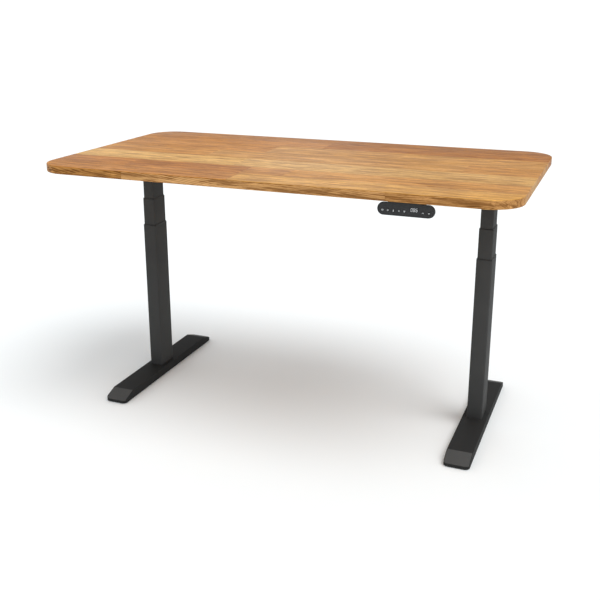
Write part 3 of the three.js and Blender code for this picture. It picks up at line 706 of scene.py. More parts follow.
def inside(points, loop):
    """Which points lie inside a closed loop: an odd count of its sides crosses the ray to the right."""
    x, y = points[:, 0, None], points[:, 1, None]
    ax, ay = loop[:, 0], loop[:, 1]
    bx, by = np.roll(ax, -1), np.roll(ay, -1)
    crosses = (ay > y) != (by > y)
    reach = ax + (y - ay) / np.where(by == ay, 1e-12, by - ay) * (bx - ax)
    return (crosses & (x < reach)).sum(1) % 2 == 1


print("shape kit ready; a test fillet has", len(fillet([(0, 0), (1, 0), (1, 1)], 0.2)), "points")

# %% [markdown]
# ## The top
# The top is one solid board with corners of a wide radius and an arris, a small rounding, along
# its rims. Its upper face is a grid whose lines lie where the staves meet, and whose outer
# columns bend to follow the corners. The band round the rim is the grid's own edge carried down
# over the arris, and the lower face is the same grid again. After the mesh is joined, the middle
# of each face tells which stave it belongs to.

# %% The staves
# Where the rows of staves meet, in Y; each stave then has its end in X and its tone.
LINES = np.array([-400, -295, -190, -60, 65, 205, 300, 400]) * MM
PAST = 751  # just past the right end, where the last stave of every row stops
STAVES = (
    ((-80, (194, 135, 77)), (PAST, (218, 169, 113))),
    ((-485, (187, 125, 58)), (-90, (184, 123, 62)), (50, (196, 141, 88)), (PAST, (207, 153, 96))),
    ((-160, (224, 181, 133)), (PAST, (213, 171, 127))),
    ((-325, (203, 146, 82)), (530, (202, 151, 95)), (PAST, (199, 144, 83))),
    ((-160, (200, 140, 71)), (PAST, (200, 149, 91))),
    ((-5, (193, 132, 59)), (PAST, (180, 119, 50))),
    ((-5, (179, 122, 60)), (PAST, (172, 114, 50))),
)
FRONT_STRIPS = ((-430, (184, 137, 98)), (395, (210, 166, 139)), (PAST, (198, 152, 120)))
REAR_STRIPS = ((-210, (202, 150, 96)), (330, (192, 142, 90)), (PAST, (204, 156, 102)))
EDGE_LEAN, FACE_LEAN = (0.12, 0.32), (-0.015, 0.015)
END_GRAIN = 0.86
ARRIS = 2 * MM
CORNER = 95 * MM


def top_grid(half_x, half_y, radius, joints):
    """x and y of the grid: rows at the stave lines and round the corners, whose ends follow the outline."""
    bend = radius * np.sin(np.linspace(0, np.pi / 2, 11))
    rows = half_y - radius + bend
    y = np.unique(np.round(np.concatenate([-rows, LINES[1:-1], rows]), 7))
    over = np.maximum(np.abs(y) - (half_y - radius), 0)
    reach = half_x - radius + np.sqrt(np.maximum(radius ** 2 - over ** 2, 0))
    x = np.hstack([-reach[:, None], np.tile(joints, (len(y), 1)), reach[:, None]])
    return x, np.tile(y[:, None], (1, x.shape[1]))


def rim_of(grid):
    """The grid's outer points in order, anticlockwise."""
    return np.vstack([grid[0, :-1], grid[:-1, -1], grid[-1, :0:-1], grid[:0:-1, 0]])


def paint_staves(thing, seed=11):
    """Gives every face corner its stave's tone, heart and lean, and how far the stave's sides are."""
    draw = np.random.default_rng(seed)
    mesh = thing.data
    count = len(mesh.polygons)
    centre, normal = np.zeros(count * 3), np.zeros(count * 3)
    mesh.polygons.foreach_get("center", centre)
    mesh.polygons.foreach_get("normal", normal)
    centre, normal = centre.reshape(-1, 3), normal.reshape(-1, 3)
    sides = np.abs(normal[:, 2]) < 0.3
    ends = sides & (np.abs(normal[:, 0]) > 0.985)
    tone, heart, lean = np.ones((count, 4)), np.zeros((count, 3)), np.zeros(count)
    low, high = np.zeros((count, 2)), np.zeros((count, 2))
    zones = [(centre[:, 1] < 0, FRONT_STRIPS), (centre[:, 1] >= 0, REAR_STRIPS)]
    zones = [(sides & ~ends & where, strips, -1.0, 1.0) for where, strips in zones]
    rows = [((~sides | ends) & (centre[:, 1] >= a) & (centre[:, 1] < b), staves, a, b)
            for staves, a, b in zip(STAVES, LINES[:-1], LINES[1:])]
    for where, staves, a, b in rows + zones:
        start = -PAST * MM
        for end, eye in staves:
            here = where & (centre[:, 0] >= start) & (centre[:, 0] < end * MM)
            tone[here, :3] = np.array(linear(*eye)[:3]) / STUDIO_GAIN
            is_edge = a == -1.0
            middle_y = (a + b) / 2 if not is_edge else 0.0
            heart[here] = (draw.uniform(-4, 4), middle_y + draw.uniform(-0.07, 0.07),
                           UNDERSIDE - draw.uniform(0.03, 0.13))
            if is_edge:
                lean[here] = draw.uniform(*EDGE_LEAN) * draw.choice([-1, 1])
            else:
                lean[here] = draw.uniform(*FACE_LEAN)
            low[here], high[here] = (start, a), (end * MM, b)
            start = end * MM
    tone[ends, :3] *= END_GRAIN
    loops = len(mesh.loops)
    face_of = np.repeat(np.arange(count), [p.loop_total for p in mesh.polygons])
    corner = np.zeros(loops, np.int32)
    mesh.loops.foreach_get("vertex_index", corner)
    place = np.zeros(len(mesh.vertices) * 3)
    mesh.vertices.foreach_get("co", place)
    here = place.reshape(-1, 3)[corner][:, :2]
    flat = np.zeros((loops, 1))
    for name, kind, values in (
            ("stave_tone", "FLOAT_COLOR", tone[face_of]), ("stave_heart", "FLOAT_VECTOR", heart[face_of]),
            ("stave_lean", "FLOAT", lean[face_of]),
            ("stave_near", "FLOAT_VECTOR", np.hstack([here - low[face_of], flat])),
            ("stave_far", "FLOAT_VECTOR", np.hstack([high[face_of] - here, flat]))):
        layer = mesh.attributes.new(name, kind, "CORNER")
        field = "color" if kind == "FLOAT_COLOR" else "vector" if kind == "FLOAT_VECTOR" else "value"
        layer.data.foreach_set(field, values.astype(np.float32).ravel())


def build_top():
    """The grid above, the rim carried over both arrises, and the grid below."""
    half = (top_high - top_low)[:2] / 2
    ends = [end for row in (*STAVES, FRONT_STRIPS, REAR_STRIPS) for end, _ in row if end < PAST]
    joints = np.unique(ends) * MM
    x, y = top_grid(half[0] - ARRIS, half[1] - ARRIS, CORNER - ARRIS, joints)
    flat = np.stack([x, y], -1)
    rim = rim_of(flat)
    inner = half - CORNER
    away = rim - np.clip(rim, -inner, inner)
    away /= np.linalg.norm(away, axis=1)[:, None]
    turn = np.linspace(0, np.pi / 2, 5)
    out = np.concatenate([ARRIS * np.sin(turn), ARRIS * np.sin(turn)[::-1]])
    heights = np.concatenate([TOP_Z - ARRIS * (1 - np.cos(turn)),
                              UNDERSIDE + ARRIS * (1 - np.cos(turn))[::-1]])
    rings = [level(rim + away * o, z) for o, z in zip(out, heights)]
    form = Form().loft(rings[::-1], caps="none")
    for height in (TOP_Z, UNDERSIDE):
        form.add(level(flat.reshape(-1, 2), height), grid_faces(*x.shape, around=False))
    return form


top = build_top().piece("oak_top", "top", "oak", ["tabletop"])
paint_staves(top)
print("top has", len(top.data.polygons), "faces and", sum(len(row) for row in STAVES), "staves")

# %% [markdown]
# ## The feet
# Each foot is a long plate pressed into a channel that is open underneath. Its ends slope down
# to a low lip, and its corners are round in plan. The skin is worked out as loops of the foot's
# outline: straight up the wall, over the rounded edge, and then a ladder of faces across the
# top. The inner skin is made the same way a wall's thickness inside, and the two meet along the
# bottom rim.

# %% Feet
FOOT_WALL, FOOT_CORNER, FOOT_BEND, FOOT_INNER_ROUND = 2.5 * MM, 14 * MM, 2.5 * MM, 1.2 * MM
GLIDE = metres(sole=2.9, stud=4)
GLIDE_NUT = ((4.3, 3.4), (9, 3.4), (9, 16), (5.5, 19), (4.3, 19))


def foot_height(y, half_length, top, lip):
    """The top's height at y: flat, then a parabola over the bend, then straight down to the lip."""
    slope = (top - lip) / FOOT_SLOPE
    d = np.abs(y) - (half_length - FOOT_SLOPE) + FOOT_BEND
    bend = slope * np.clip(d, 0, 2 * FOOT_BEND) ** 2 / (4 * FOOT_BEND)
    return top - bend - slope * np.maximum(d - 2 * FOOT_BEND, 0)


def foot_ring(width, length, corner, inset):
    """The outline, right side forwards then left side back, so point i faces point count - 1 - i."""
    turn = np.linspace(0, np.pi / 2, 8)
    r = corner - inset
    straight = length / 2 - corner
    bends = (length / 2 - FOOT_SLOPE) + np.linspace(-1.2, 1.2, 9) * FOOT_BEND
    y = np.concatenate([-straight - r * np.cos(turn), -bends[::-1], np.linspace(-0.2, 0.2, 5), bends,
                        straight + r * np.sin(turn)])
    x = np.concatenate([width / 2 - corner + r * np.sin(turn),
                        np.full(len(bends) * 2 + 5, width / 2 - inset),
                        width / 2 - corner + r * np.cos(turn)])
    right = np.column_stack([x, y])
    return np.vstack([right, (right * [-1, 1])[::-1]])


def foot_skin(size, inset, edge, bottom):
    """Loops from the rim up the wall and over an edge of that radius."""
    turn = np.linspace(0, np.pi / 2, 6)
    rings = [level(foot_ring(size[0], size[1], FOOT_CORNER, inset), bottom)]
    for over, lift in zip(edge * (1 - np.cos(turn)), edge * np.sin(turn)):
        ring = foot_ring(size[0], size[1], FOOT_CORNER, inset + over)
        top = foot_height(ring[:, 1], size[1] / 2, size[2] - inset, FOOT_LIP + bottom - inset)
        rings.append(np.column_stack([ring, top - edge + lift]))
    return rings


def build_foot(word):
    """The two skins joined at the rim, with a nut for each glide welded inside."""
    low, high = span(f"{word}_foot")
    place = (*((low + high) / 2)[:2], 0)
    size = np.array([high[0] - low[0], high[1] - low[1], high[2]])
    outer = foot_skin(size, 0.0, FOOT_ROUND, low[2])
    inner = foot_skin(size, FOOT_WALL, FOOT_INNER_ROUND, low[2])
    rings = inner[::-1] + outer
    form = Form().loft(rings, caps="ladder", shift=place)
    for end in ("front", "rear"):
        x, y, _ = middle(f"{word}_{end}_glide")
        form.turned(np.array(GLIDE_NUT) * MM, 24, closed=True, shift=(x, y, 0))
    form.piece(f"{word}_foot_channel", f"base_{word}", "powder_coat", [f"{word}_foot"], [FOOT_COAT])


def build_glide(word, end):
    """A moulded sole and a zinc stud, both turned about the glide's own axis."""
    low, high = span(f"{word}_{end}_glide")
    x, y, _ = middle(f"{word}_{end}_glide")
    r, top = (high[0] - low[0]) / 2, high[2]
    thick, stud_radius = GLIDE["sole"], GLIDE["stud"]
    sole = fillet([(1e-4, 0), (r, 0), (r, thick), (1e-4, thick)], [0, 0.8 * MM, 0.5 * MM, 0], 3)
    form = Form().turned(sole, 48, shift=(x, y, 0))
    stud = fillet([(1e-4, thick), (stud_radius, thick), (stud_radius, top), (1e-4, top)],
                  [0, 1e-5, 0.6 * MM, 0], 3)
    form.turned(stud, 24, finish=1, shift=(x, y, 0))
    form.piece(f"{word}_{end}_levelling_glide", f"glide_{word}_{end}", "rubber", [f"{word}_{end}_glide"],
               [FINISHES["rubber"], ZINC_SCREW])


for word, _ in SIDES:
    build_foot(word)
    for end in ("front", "rear"):
        build_glide(word, end)
print("feet", np.round(span("left_foot")[1] - span("left_foot")[0], 4))

# %% [markdown]
# ## The telescopic columns
# A column is three drawn tubes, one inside another. A drawn tube keeps one wall and one corner
# radius along its length, so it is a rounded rectangle carried straight up, with a small
# rounding at its cut ends and the same shape again inside. In each mouth sits a thin plastic
# collar, which shows as the dark line where two stages meet.

# %% Column tubes and collars
TUBE_WALL = 1.5 * MM
TUBE_EASE = 0.35 * MM
# A collar has a skirt inside its tube and, from rim_foot up, a rim that covers the tube's end.
COLLAR = metres(rim_foot=18.35, play=0.6, lip_low=1.3, lip_high=0.7, chamfer=1.2, shy=0.1, foot_shy=0.5)
STAGES = {"outer_tube": (5 * MM, "base"), "mid_tube": (4 * MM, "mid"), "inner_tube": (3.5 * MM, "top")}


def tube_rings(size, corner, low, high, wall, ease, floor=None):
    """Rings down the inside and up the outside of a tube, round its cut ends."""
    def ring(inset, height):
        return level(rounded_rect(size[0] - 2 * inset, size[1] - 2 * inset, corner - inset, 5), height)
    outside = [ring(ease, low), ring(0.3 * ease, low + 0.3 * ease), ring(0, low + ease),
               ring(0, high - ease), ring(0.3 * ease, high - 0.3 * ease), ring(ease, high)]
    inside_top = [ring(wall - ease, high), ring(wall, high - ease)]
    if floor is not None:
        return outside + inside_top + [ring(wall, floor)]
    return outside + inside_top + [ring(wall, low + ease), ring(wall - ease, low)]


def body_of_stage(stage, word):
    """The inner tubes ride on the top, the others on their own side's body."""
    return "top" if stage == "top" else f"{stage}_{word}"


for word, _ in SIDES:
    for tube, (corner, stage) in STAGES.items():
        node = f"{word}_{tube}"
        low, high = span(node)
        floor_at = low[2] + 6 * MM if tube == "outer_tube" else None
        rings = tube_rings((high - low)[:2], corner, low[2], high[2], TUBE_WALL, TUBE_EASE, floor_at)
        Form().loft(rings, closed=floor_at is None, shift=(*COLUMN[word], 0)).piece(
            f"{node}_drawn", body_of_stage(stage, word), "powder_coat", [node])
    for collar, within, stage in (("outer_collar", "mid_tube", "base"), ("mid_collar", "inner_tube", "mid")):
        node = f"{word}_{collar}"
        low, high = span(node)
        hole = (span(f"{word}_{within}")[1] - span(f"{word}_{within}")[0])[:2] + COLLAR["play"]
        rim, mouth, rim_foot = (high - low)[:2], high[2], low[2] + COLLAR["rim_foot"]
        skirt = rim - 2 * TUBE_WALL - COLLAR["play"]
        bore = STAGES[within][0] + 0.3 * MM
        rim_corner, skirt_corner = bore + 0.7 * MM, bore + 0.4 * MM
        rows = [(rim - COLLAR["foot_shy"], rim_corner, rim_foot),
                (rim - COLLAR["shy"], rim_corner, mouth - COLLAR["lip_low"]),
                (rim - COLLAR["shy"], rim_corner, mouth - COLLAR["lip_high"]),
                (rim - COLLAR["chamfer"], rim_corner, mouth),
                (hole + 0.4 * MM, bore, mouth), (hole, bore, mouth - 0.4 * MM), (hole, bore, low[2]),
                (skirt, skirt_corner, low[2]), (skirt, skirt_corner, rim_foot)]
        rings = [level(rounded_rect(*size, r, 5), z) for size, r, z in rows]
        Form().loft(rings, closed=True, shift=(*COLUMN[word], 0)).piece(
            f"{node}_guide", body_of_stage(stage, word), "black_plastic", [node])
print("tubes", {t: np.round((span(f'left_{t}')[1] - span(f'left_{t}')[0]) / MM, 1).tolist() for t in STAGES})

# %% [markdown]
# ## Screws and bolts
# A screw's head says how a piece is held. A pan head is a dome with a cross pressed into it: the
# dome is a polar grid, and the cross is a trench whose depth depends on how near a point is to
# either arm. A socket bolt is a turned cap with a six-sided well.

# %% Screw heads
def pan_head(radius, height, arms=0.62, slot=0.16):
    """A polar grid: a dome less a cross, whose arms are slot wide and reach arms of the radius."""
    r, angle = np.meshgrid(np.linspace(0.04, 1, 11), np.linspace(0, 2 * np.pi, 40, endpoint=False),
                           indexing="ij")
    x, y = r * np.cos(angle), r * np.sin(angle)
    dome = np.sqrt(np.maximum(1 - 0.72 * r ** 2, 0)) - 0.53
    near = np.minimum(np.abs(x), np.abs(y))
    cross = np.clip((slot - near) / (0.5 * slot), 0, 1) * np.clip((arms - r) / 0.12, 0, 1)
    z = dome / 0.47 * height - cross * height * 0.62
    top = np.stack([x * radius, y * radius, z], -1)
    skirt = np.stack([x[-1] * radius, y[-1] * radius, np.full(len(y[-1]), -0.2 * MM)], -1)
    return [skirt, *top[::-1]]


def hex_bolt(radius, height):
    """A turned cap whose well has six flats: rings up the outside, over the rim and down the well."""
    well = np.repeat(circle(radius * 0.52, 6), 6, 0)
    share = np.tile(np.arange(6) / 6, 6)[:, None]
    well = well * (1 - share) + np.roll(well, -6, 0) * share
    cap = circle(radius, 36)
    return [level(cap, -0.2 * MM), level(cap, height * 0.82), level(cap * 0.93, height),
            level(well * 1.06, height), level(well, height * 0.94), level(well, height * 0.35)]


def pointing(direction):
    """A function that turns points drawn along +Z to the direction, by an orthonormal frame round it."""
    n = np.asarray(direction, float)
    n /= np.linalg.norm(n)
    side = np.cross([0, 0, 1.0], n) if abs(n[2]) < 0.9 else np.cross([0, 1.0, 0], n)
    side /= np.linalg.norm(side)
    turn = np.column_stack([side, np.cross(n, side), n])
    return lambda points: points @ turn.T


class Fixings:
    """The screws of one body, gathered into one piece with a material for each kind."""

    def __init__(self):
        self.form, self.number = Form(), 0

    def put(self, rings, place, direction, black=False):
        self.form.loft(rings, pointing(direction), finish=int(black), shift=place)
        self.number += 1

    def piece(self, name, body):
        self.form.piece(name, body, "zinc", finishes=[ZINC_SCREW, BLACK_SCREW])
        print(name, "holds", self.number, "fixings")


DOWN = (0, 0, -1)
under_top = Fixings()
for word, _ in SIDES:
    under_foot = Fixings()
    x, y = COLUMN[word]
    ceiling = span(f"{word}_foot")[1][2] - FOOT_WALL
    for dx in (-15, 15):
        for dy in (-30, 30):
            under_foot.put(hex_bolt(6 * MM, 5 * MM), (x + dx * MM, y + dy * MM, ceiling), DOWN)
    under_foot.piece(f"{word}_foot_bolts", f"base_{word}")

# %% [markdown]
# ## The frame under the top
# Two steel tubes run the length of the desk, a folded cradle holds each column's head between
# them, and a long angle at each end carries the top's short sides. Folded steel keeps one
# thickness and turns its corners on a small radius, so each is a strip: the middle line of the
# fold with half the thickness laid off to both sides. The angle's upright leg grows from its tips
# to its middle, so its strip changes along the way.

# %% Rails and side brackets
SHEET = 3 * MM
RAIL_CORNER = 2.5 * MM

for rail in ("front_rail", "rear_rail"):
    low, high = span(rail)
    size, mid = (high - low)[1:], (low + high) / 2
    rings = tube_rings(size, RAIL_CORNER, low[0], high[0], TUBE_WALL, 0.3 * MM)
    form = Form().loft(rings, to_x, closed=True, shift=(0, *mid[1:]))
    for end in (-1, 1):
        plug = rounded_rect(*(size - 0.3 * MM), RAIL_CORNER, 4)
        face = end * (high[0] + 1.4 * MM)
        root = end * (high[0] - 8 * MM)
        stem = rounded_rect(*(size - 2 * TUBE_WALL - 0.4 * MM), 1 * MM, 4)
        form.slab(stem, *sorted([root, end * high[0]]), place=to_x, finish=1, shift=(0, *mid[1:]))
        form.slab(plug, *sorted([end * high[0], face]), edge=0.6 * MM, place=to_x, finish=1,
                  shift=(0, *mid[1:]))
    form.piece(f"{rail}_tube", "top", "powder_coat", [rail],
               [FINISHES["powder_coat"], FINISHES["black_plastic"]])


def build_side_bracket(word, side):
    """An angle whose upright leg is a strip of changing depth, carried along Y."""
    low, high = span(f"{word}_side_bracket")
    inner = low[0] if side > 0 else high[0]
    width, top = high[0] - low[0], high[2]
    stations = np.array([-280, -278, -100, -90, 90, 100, 278, 280]) * MM
    depth = np.array([11, 12, 25, 26, 26, 25, 12, 11]) * MM
    rings = []
    for y, d in zip(stations, depth):
        line = [(-d, side * SHEET / 2), (-SHEET / 2, side * SHEET / 2), (-SHEET / 2, side * width)]
        section = strip(line, 3.2 * MM, SHEET)
        rings.append(level(section, y))
    form = Form().loft(rings, to_y, caps="ladder", shift=(inner, 0, top))
    form.piece(f"{word}_end_angle", "top", "powder_coat", [f"{word}_side_bracket"], bevel=0.35 * MM)
    for y in (-255, -150, -50, 50, 150, 255):
        under_top.put(pan_head(4.4 * MM, 2.6 * MM), (inner + side * 17 * MM, y * MM, top - SHEET), DOWN)


HEAD = metres(reach=48, fold=4, plate=24, cheek=60, notch=12, low_edge=1, high_edge=18, cheek_turn=5,
              plate_side_gap=0.4, plate_top_gap=0.6, bolt_height=812)
HEAD_SIDE_BOLTS = ((-1, (-36, 46)), (1, (-36,)))
HEAD_BASE_BOLTS = ((-40, -34), (-40, 34), (-2, -42), (-2, 42))


def build_column_head(word, side):
    """A cradle: a strip folded up on both sides, an end plate, and two cheeks that reach inboard."""
    low, high = span(f"{word}_column_head")
    x, y = COLUMN[word]
    half, out, rise = (high[1] - low[1]) / 2, HEAD["reach"], high[2]
    line = [(rise, -half + SHEET / 2), (low[2] + SHEET / 2, -half + SHEET / 2),
            (low[2] + SHEET / 2, half - SHEET / 2), (rise, half - SHEET / 2)]
    section = strip([(b, a) for a, b in line], HEAD["fold"], SHEET, 5)
    plate_end = x - side * HEAD["plate"]
    xs = sorted([x + side * out, plate_end])
    form = Form().loft([level(section, v) for v in xs], to_x, caps="ladder", shift=(0, y, 0))
    cheek_end, low_edge = x - side * HEAD["cheek"], low[2] + HEAD["low_edge"]
    for sign in (-1, 1):
        wall = [(plate_end, low_edge), (plate_end - side * HEAD["notch"], low_edge),
                (cheek_end, low[2] + HEAD["high_edge"]), (cheek_end, rise), (plate_end, rise)]
        turns = [1e-5, HEAD["fold"], HEAD["cheek_turn"], HEAD["cheek_turn"], 1e-5]
        face = fillet(wall, turns, 4, closed=True)
        form.slab(face, *sorted([sign * half, sign * (half - SHEET)]), place=swap_yz, shift=(0, y, 0))
    end_plate = rounded_rect(2 * half - 2 * SHEET - HEAD["plate_side_gap"],
                             rise - low[2] - SHEET - HEAD["plate_top_gap"], HEAD["fold"], 4)
    form.slab(end_plate, *sorted([x + side * out, x + side * (out - SHEET)]), place=to_x,
              shift=(0, y, (rise + low[2] + SHEET) / 2))
    form.piece(f"{word}_head_cradle", "top", "powder_coat", [f"{word}_column_head"], bevel=0.3 * MM)
    inner = half - SHEET
    for sign, places in HEAD_SIDE_BOLTS:
        for dx in places:
            place = (x - side * dx * MM, y + sign * inner, HEAD["bolt_height"])
            under_top.put(hex_bolt(5.5 * MM, 4 * MM), place, (0, -sign, 0), True)
    for dx, dy in HEAD_BASE_BOLTS:
        under_top.put(hex_bolt(4.6 * MM, 3 * MM), (x - side * dx * MM, y + dy * MM, low[2]), DOWN, True)


for word, side in SIDES:
    build_side_bracket(word, side)
    build_column_head(word, side)
print("rails at y", [round(float(middle(r)[1]), 4) for r in ("front_rail", "rear_rail")])

# %% [markdown]
# ## Motors and gearboxes
# Each column has its own motor, lying along the rails with its nose in a die-cast gearbox. The
# motor is a turned can: its profile steps at the crimped end caps and the vent groove, and is
# turned about the motor's own axis. The casting has rounded edges, a round mounting face and
# stiffening ribs.

# %% Motors and gearboxes
MOTOR_PROFILE = ((0, 4.6), (0, 16), (5.5, 16), (5.5, 20), (13, 20), (13, 19.3), (14.2, 19.3), (14.2, 20),
                 (70, 20), (70, 19.2), (71.5, 19.2), (71.5, 20), (89, 20), (94, 16), (94, 9), (90, 9),
                 (90, 4.2), (99, 3.6), (107, 2.5))
MOTOR_ROUND, MOTOR_SCREWS = 0.45 * MM, metres(along=93.4, out=12.6)


def build_motor(word, side):
    """The can's profile runs from the gearbox to the lead's boot, in distance along the axis and radius."""
    low, high = span(f"{word}_motor")
    mid = (low + high) / 2
    start = high[0] if side > 0 else low[0]
    corners = np.array(MOTOR_PROFILE) * MM
    profile = fillet(corners[:, ::-1], [0, *[MOTOR_ROUND] * (len(corners) - 2), 0], 3)
    spun = Form().turned(profile, 56, pointing((-side, 0, 0)), shift=(start, mid[1], mid[2]))
    for angle in np.radians([45, 135, 225, 315]):
        seat = (start - side * MOTOR_SCREWS["along"], mid[1] + MOTOR_SCREWS["out"] * math.cos(angle),
                mid[2] + MOTOR_SCREWS["out"] * math.sin(angle))
        spun.loft(pan_head(1.9 * MM, 1.1 * MM), pointing((-side, 0, 0)), finish=1, shift=seat)
    spun.piece(f"{word}_motor_can", "top", "black_plastic", [f"{word}_motor"],
               [FINISHES["powder_coat"], ZINC_SCREW])


CASTING = metres(corner=7, round=1.6, lid=4, lid_overlap=0.3, lid_inset=1, lid_round=1,
                 rib_half=1.2, rib_out=1.3, rib_in=2, rib_low=3, rib_high=6, rib_round=0.5, rib_corner=0.6,
                 flange=17.5, flange_depth=3, flange_face=0.15)
CASTING_RIBS = (-15, 0, 15)


def build_gearbox(word, side):
    """A rounded block with a round motor face, three ribs on one long side and a lid."""
    low, high = span(f"{word}_gearbox")
    mid, size = (low + high) / 2, high - low
    outline = rounded_rect(size[0], size[1], CASTING["corner"], 6)
    lid_foot = high[2] - CASTING["lid"]
    form = Form().slab(outline, low[2], lid_foot, CASTING["round"], shift=(*mid[:2], 0))
    lid = rounded_rect(size[0] - 2 * CASTING["lid_inset"], size[1] - 2 * CASTING["lid_inset"], 6.5 * MM, 6)
    form.slab(lid, lid_foot - CASTING["lid_overlap"], high[2], CASTING["lid_round"], shift=(*mid[:2], 0))
    for dx in CASTING_RIBS:
        rib_x = mid[0] + dx * MM
        form.block((rib_x - CASTING["rib_half"], low[1] - CASTING["rib_out"], low[2] + CASTING["rib_low"]),
                   (rib_x + CASTING["rib_half"], low[1] + CASTING["rib_in"], high[2] - CASTING["rib_high"]),
                   CASTING["rib_round"], CASTING["rib_corner"])
    motor_mid = middle(f"{word}_motor")
    face = low[0] if side > 0 else high[0]
    flange, back, front = CASTING["flange"], -CASTING["flange_depth"], CASTING["flange_face"]
    ring = fillet([(1e-4, back), (flange, back), (flange, front), (1e-4, front)], [0, 1e-5, 0.1 * MM, 0], 3)
    form.turned(ring, 48, pointing((-side, 0, 0)), shift=(face, motor_mid[1], motor_mid[2]))
    form.piece(f"{word}_gear_casting", "top", "cast_alloy", [f"{word}_gearbox"])
    return size


for word, side in SIDES:
    build_motor(word, side)
    print(word, "gearbox", np.round(build_gearbox(word, side) / MM, 1))

# %% [markdown]
# ## The control box
# A flat moulded box behind the rear rail turns mains power into what the motors need. Its shell
# is a rounded outline carried up its wall and over its rounded upper edge, then down again a
# wall's thickness inside. The cover is a grid whose height is pressed in where the vent slots
# are. The mains socket is a sleeve with three flat pins.

# %% Control box, cover and mains socket
SLOT_HALF, SLOT_PITCH, SLOT_COUNT, SLOT_DEPTH = 24 * MM, 6.5 * MM, 13, 1.3 * MM
BOX = metres(wall=2.5, corner=6, least_corner=1.5, ease=2.5, ear_hole=2.4, hole_out=7, ear_width=24,
             ear_length=50, ear=3, rib_half=1.2, rib_drop=12, rib_out=6, rib_top=2, rib_round=0.4,
             grip_half=0.9, grip_in=1, grip_low=4, grip_high=8, grip_round=0.3, port_height=818)
BOX_EAR_RIBS, BOX_PORTS, BOX_GRIPS = (-14, 14), (-90, 0, 90), (-110, 110, 23)
GROMMET = ((2.25, -2), (4.6, -2), (4.6, 2.2), (2.25, 3.2))


def build_control_box():
    """A shell of rounded rectangles that draw in along a quarter circle at the roof."""
    low, high = span("control_box")
    cover_low, cover_high = span("control_box_cover")
    size, mid = (cover_high - cover_low)[:2], (cover_low + cover_high) / 2
    wall, base, roof = BOX["wall"], low[2], high[2]
    turn = np.linspace(0, np.pi / 2, 5)

    def ring(inset, height):
        corner = max(BOX["corner"] - inset, BOX["least_corner"])
        return level(rounded_rect(size[0] - 2 * inset, size[1] - 2 * inset, corner, 6), height)

    ease = BOX["ease"]
    rings = [ring(wall, roof - wall), ring(wall, base), ring(0, base)]
    rings += [ring(ease * (1 - math.cos(a)), roof - ease + ease * math.sin(a)) for a in turn]
    form = Form().loft(rings, shift=(*mid[:2], 0))
    for end in (-1, 1):
        ear_x = end * size[0] / 2
        hole = circle(BOX["ear_hole"], 20) + [end * BOX["hole_out"], 0]
        ear = rounded_rect(BOX["ear_width"], BOX["ear_length"], BOX["corner"])
        ear_foot = roof - BOX["ear"]
        form.plate(ear, [hole], ear_foot, roof, shift=(ear_x, mid[1], 0))
        under_top.put(pan_head(4.2 * MM, 2.4 * MM), (ear_x + end * BOX["hole_out"], mid[1], ear_foot), DOWN)
        for dy in BOX_EAR_RIBS:
            rib_y, thin = mid[1] + dy * MM, BOX["rib_half"]
            form.block((ear_x, rib_y - thin, roof - BOX["rib_drop"]),
                       (ear_x + end * BOX["rib_out"], rib_y + thin, roof - BOX["rib_top"]), BOX["rib_round"])
    for grip in np.linspace(*BOX_GRIPS) * MM:
        thin = BOX["grip_half"]
        form.block((grip - thin, cover_high[1] - BOX["grip_in"], base + BOX["grip_low"]),
                   (grip + thin, cover_high[1] + thin, base + BOX["grip_high"]), BOX["grip_round"])
    for port in BOX_PORTS:
        grommet = fillet(np.array(GROMMET) * MM, 0.5 * MM, 3, closed=True)
        form.turned(grommet, 28, pointing((0, -1, 0)), closed=True, finish=1,
                    shift=(port * MM, cover_low[1], BOX["port_height"]))
    form.piece("control_box_shell", "top", "black_plastic", ["control_box"],
               [FINISHES["black_plastic"], FINISHES["rubber"]])


COVER = metres(plate=3, rim=8, corner_rim=5.9, slot_reach=2.0, slot_slope=0.9, lower_round=0.8, screw_in=7)


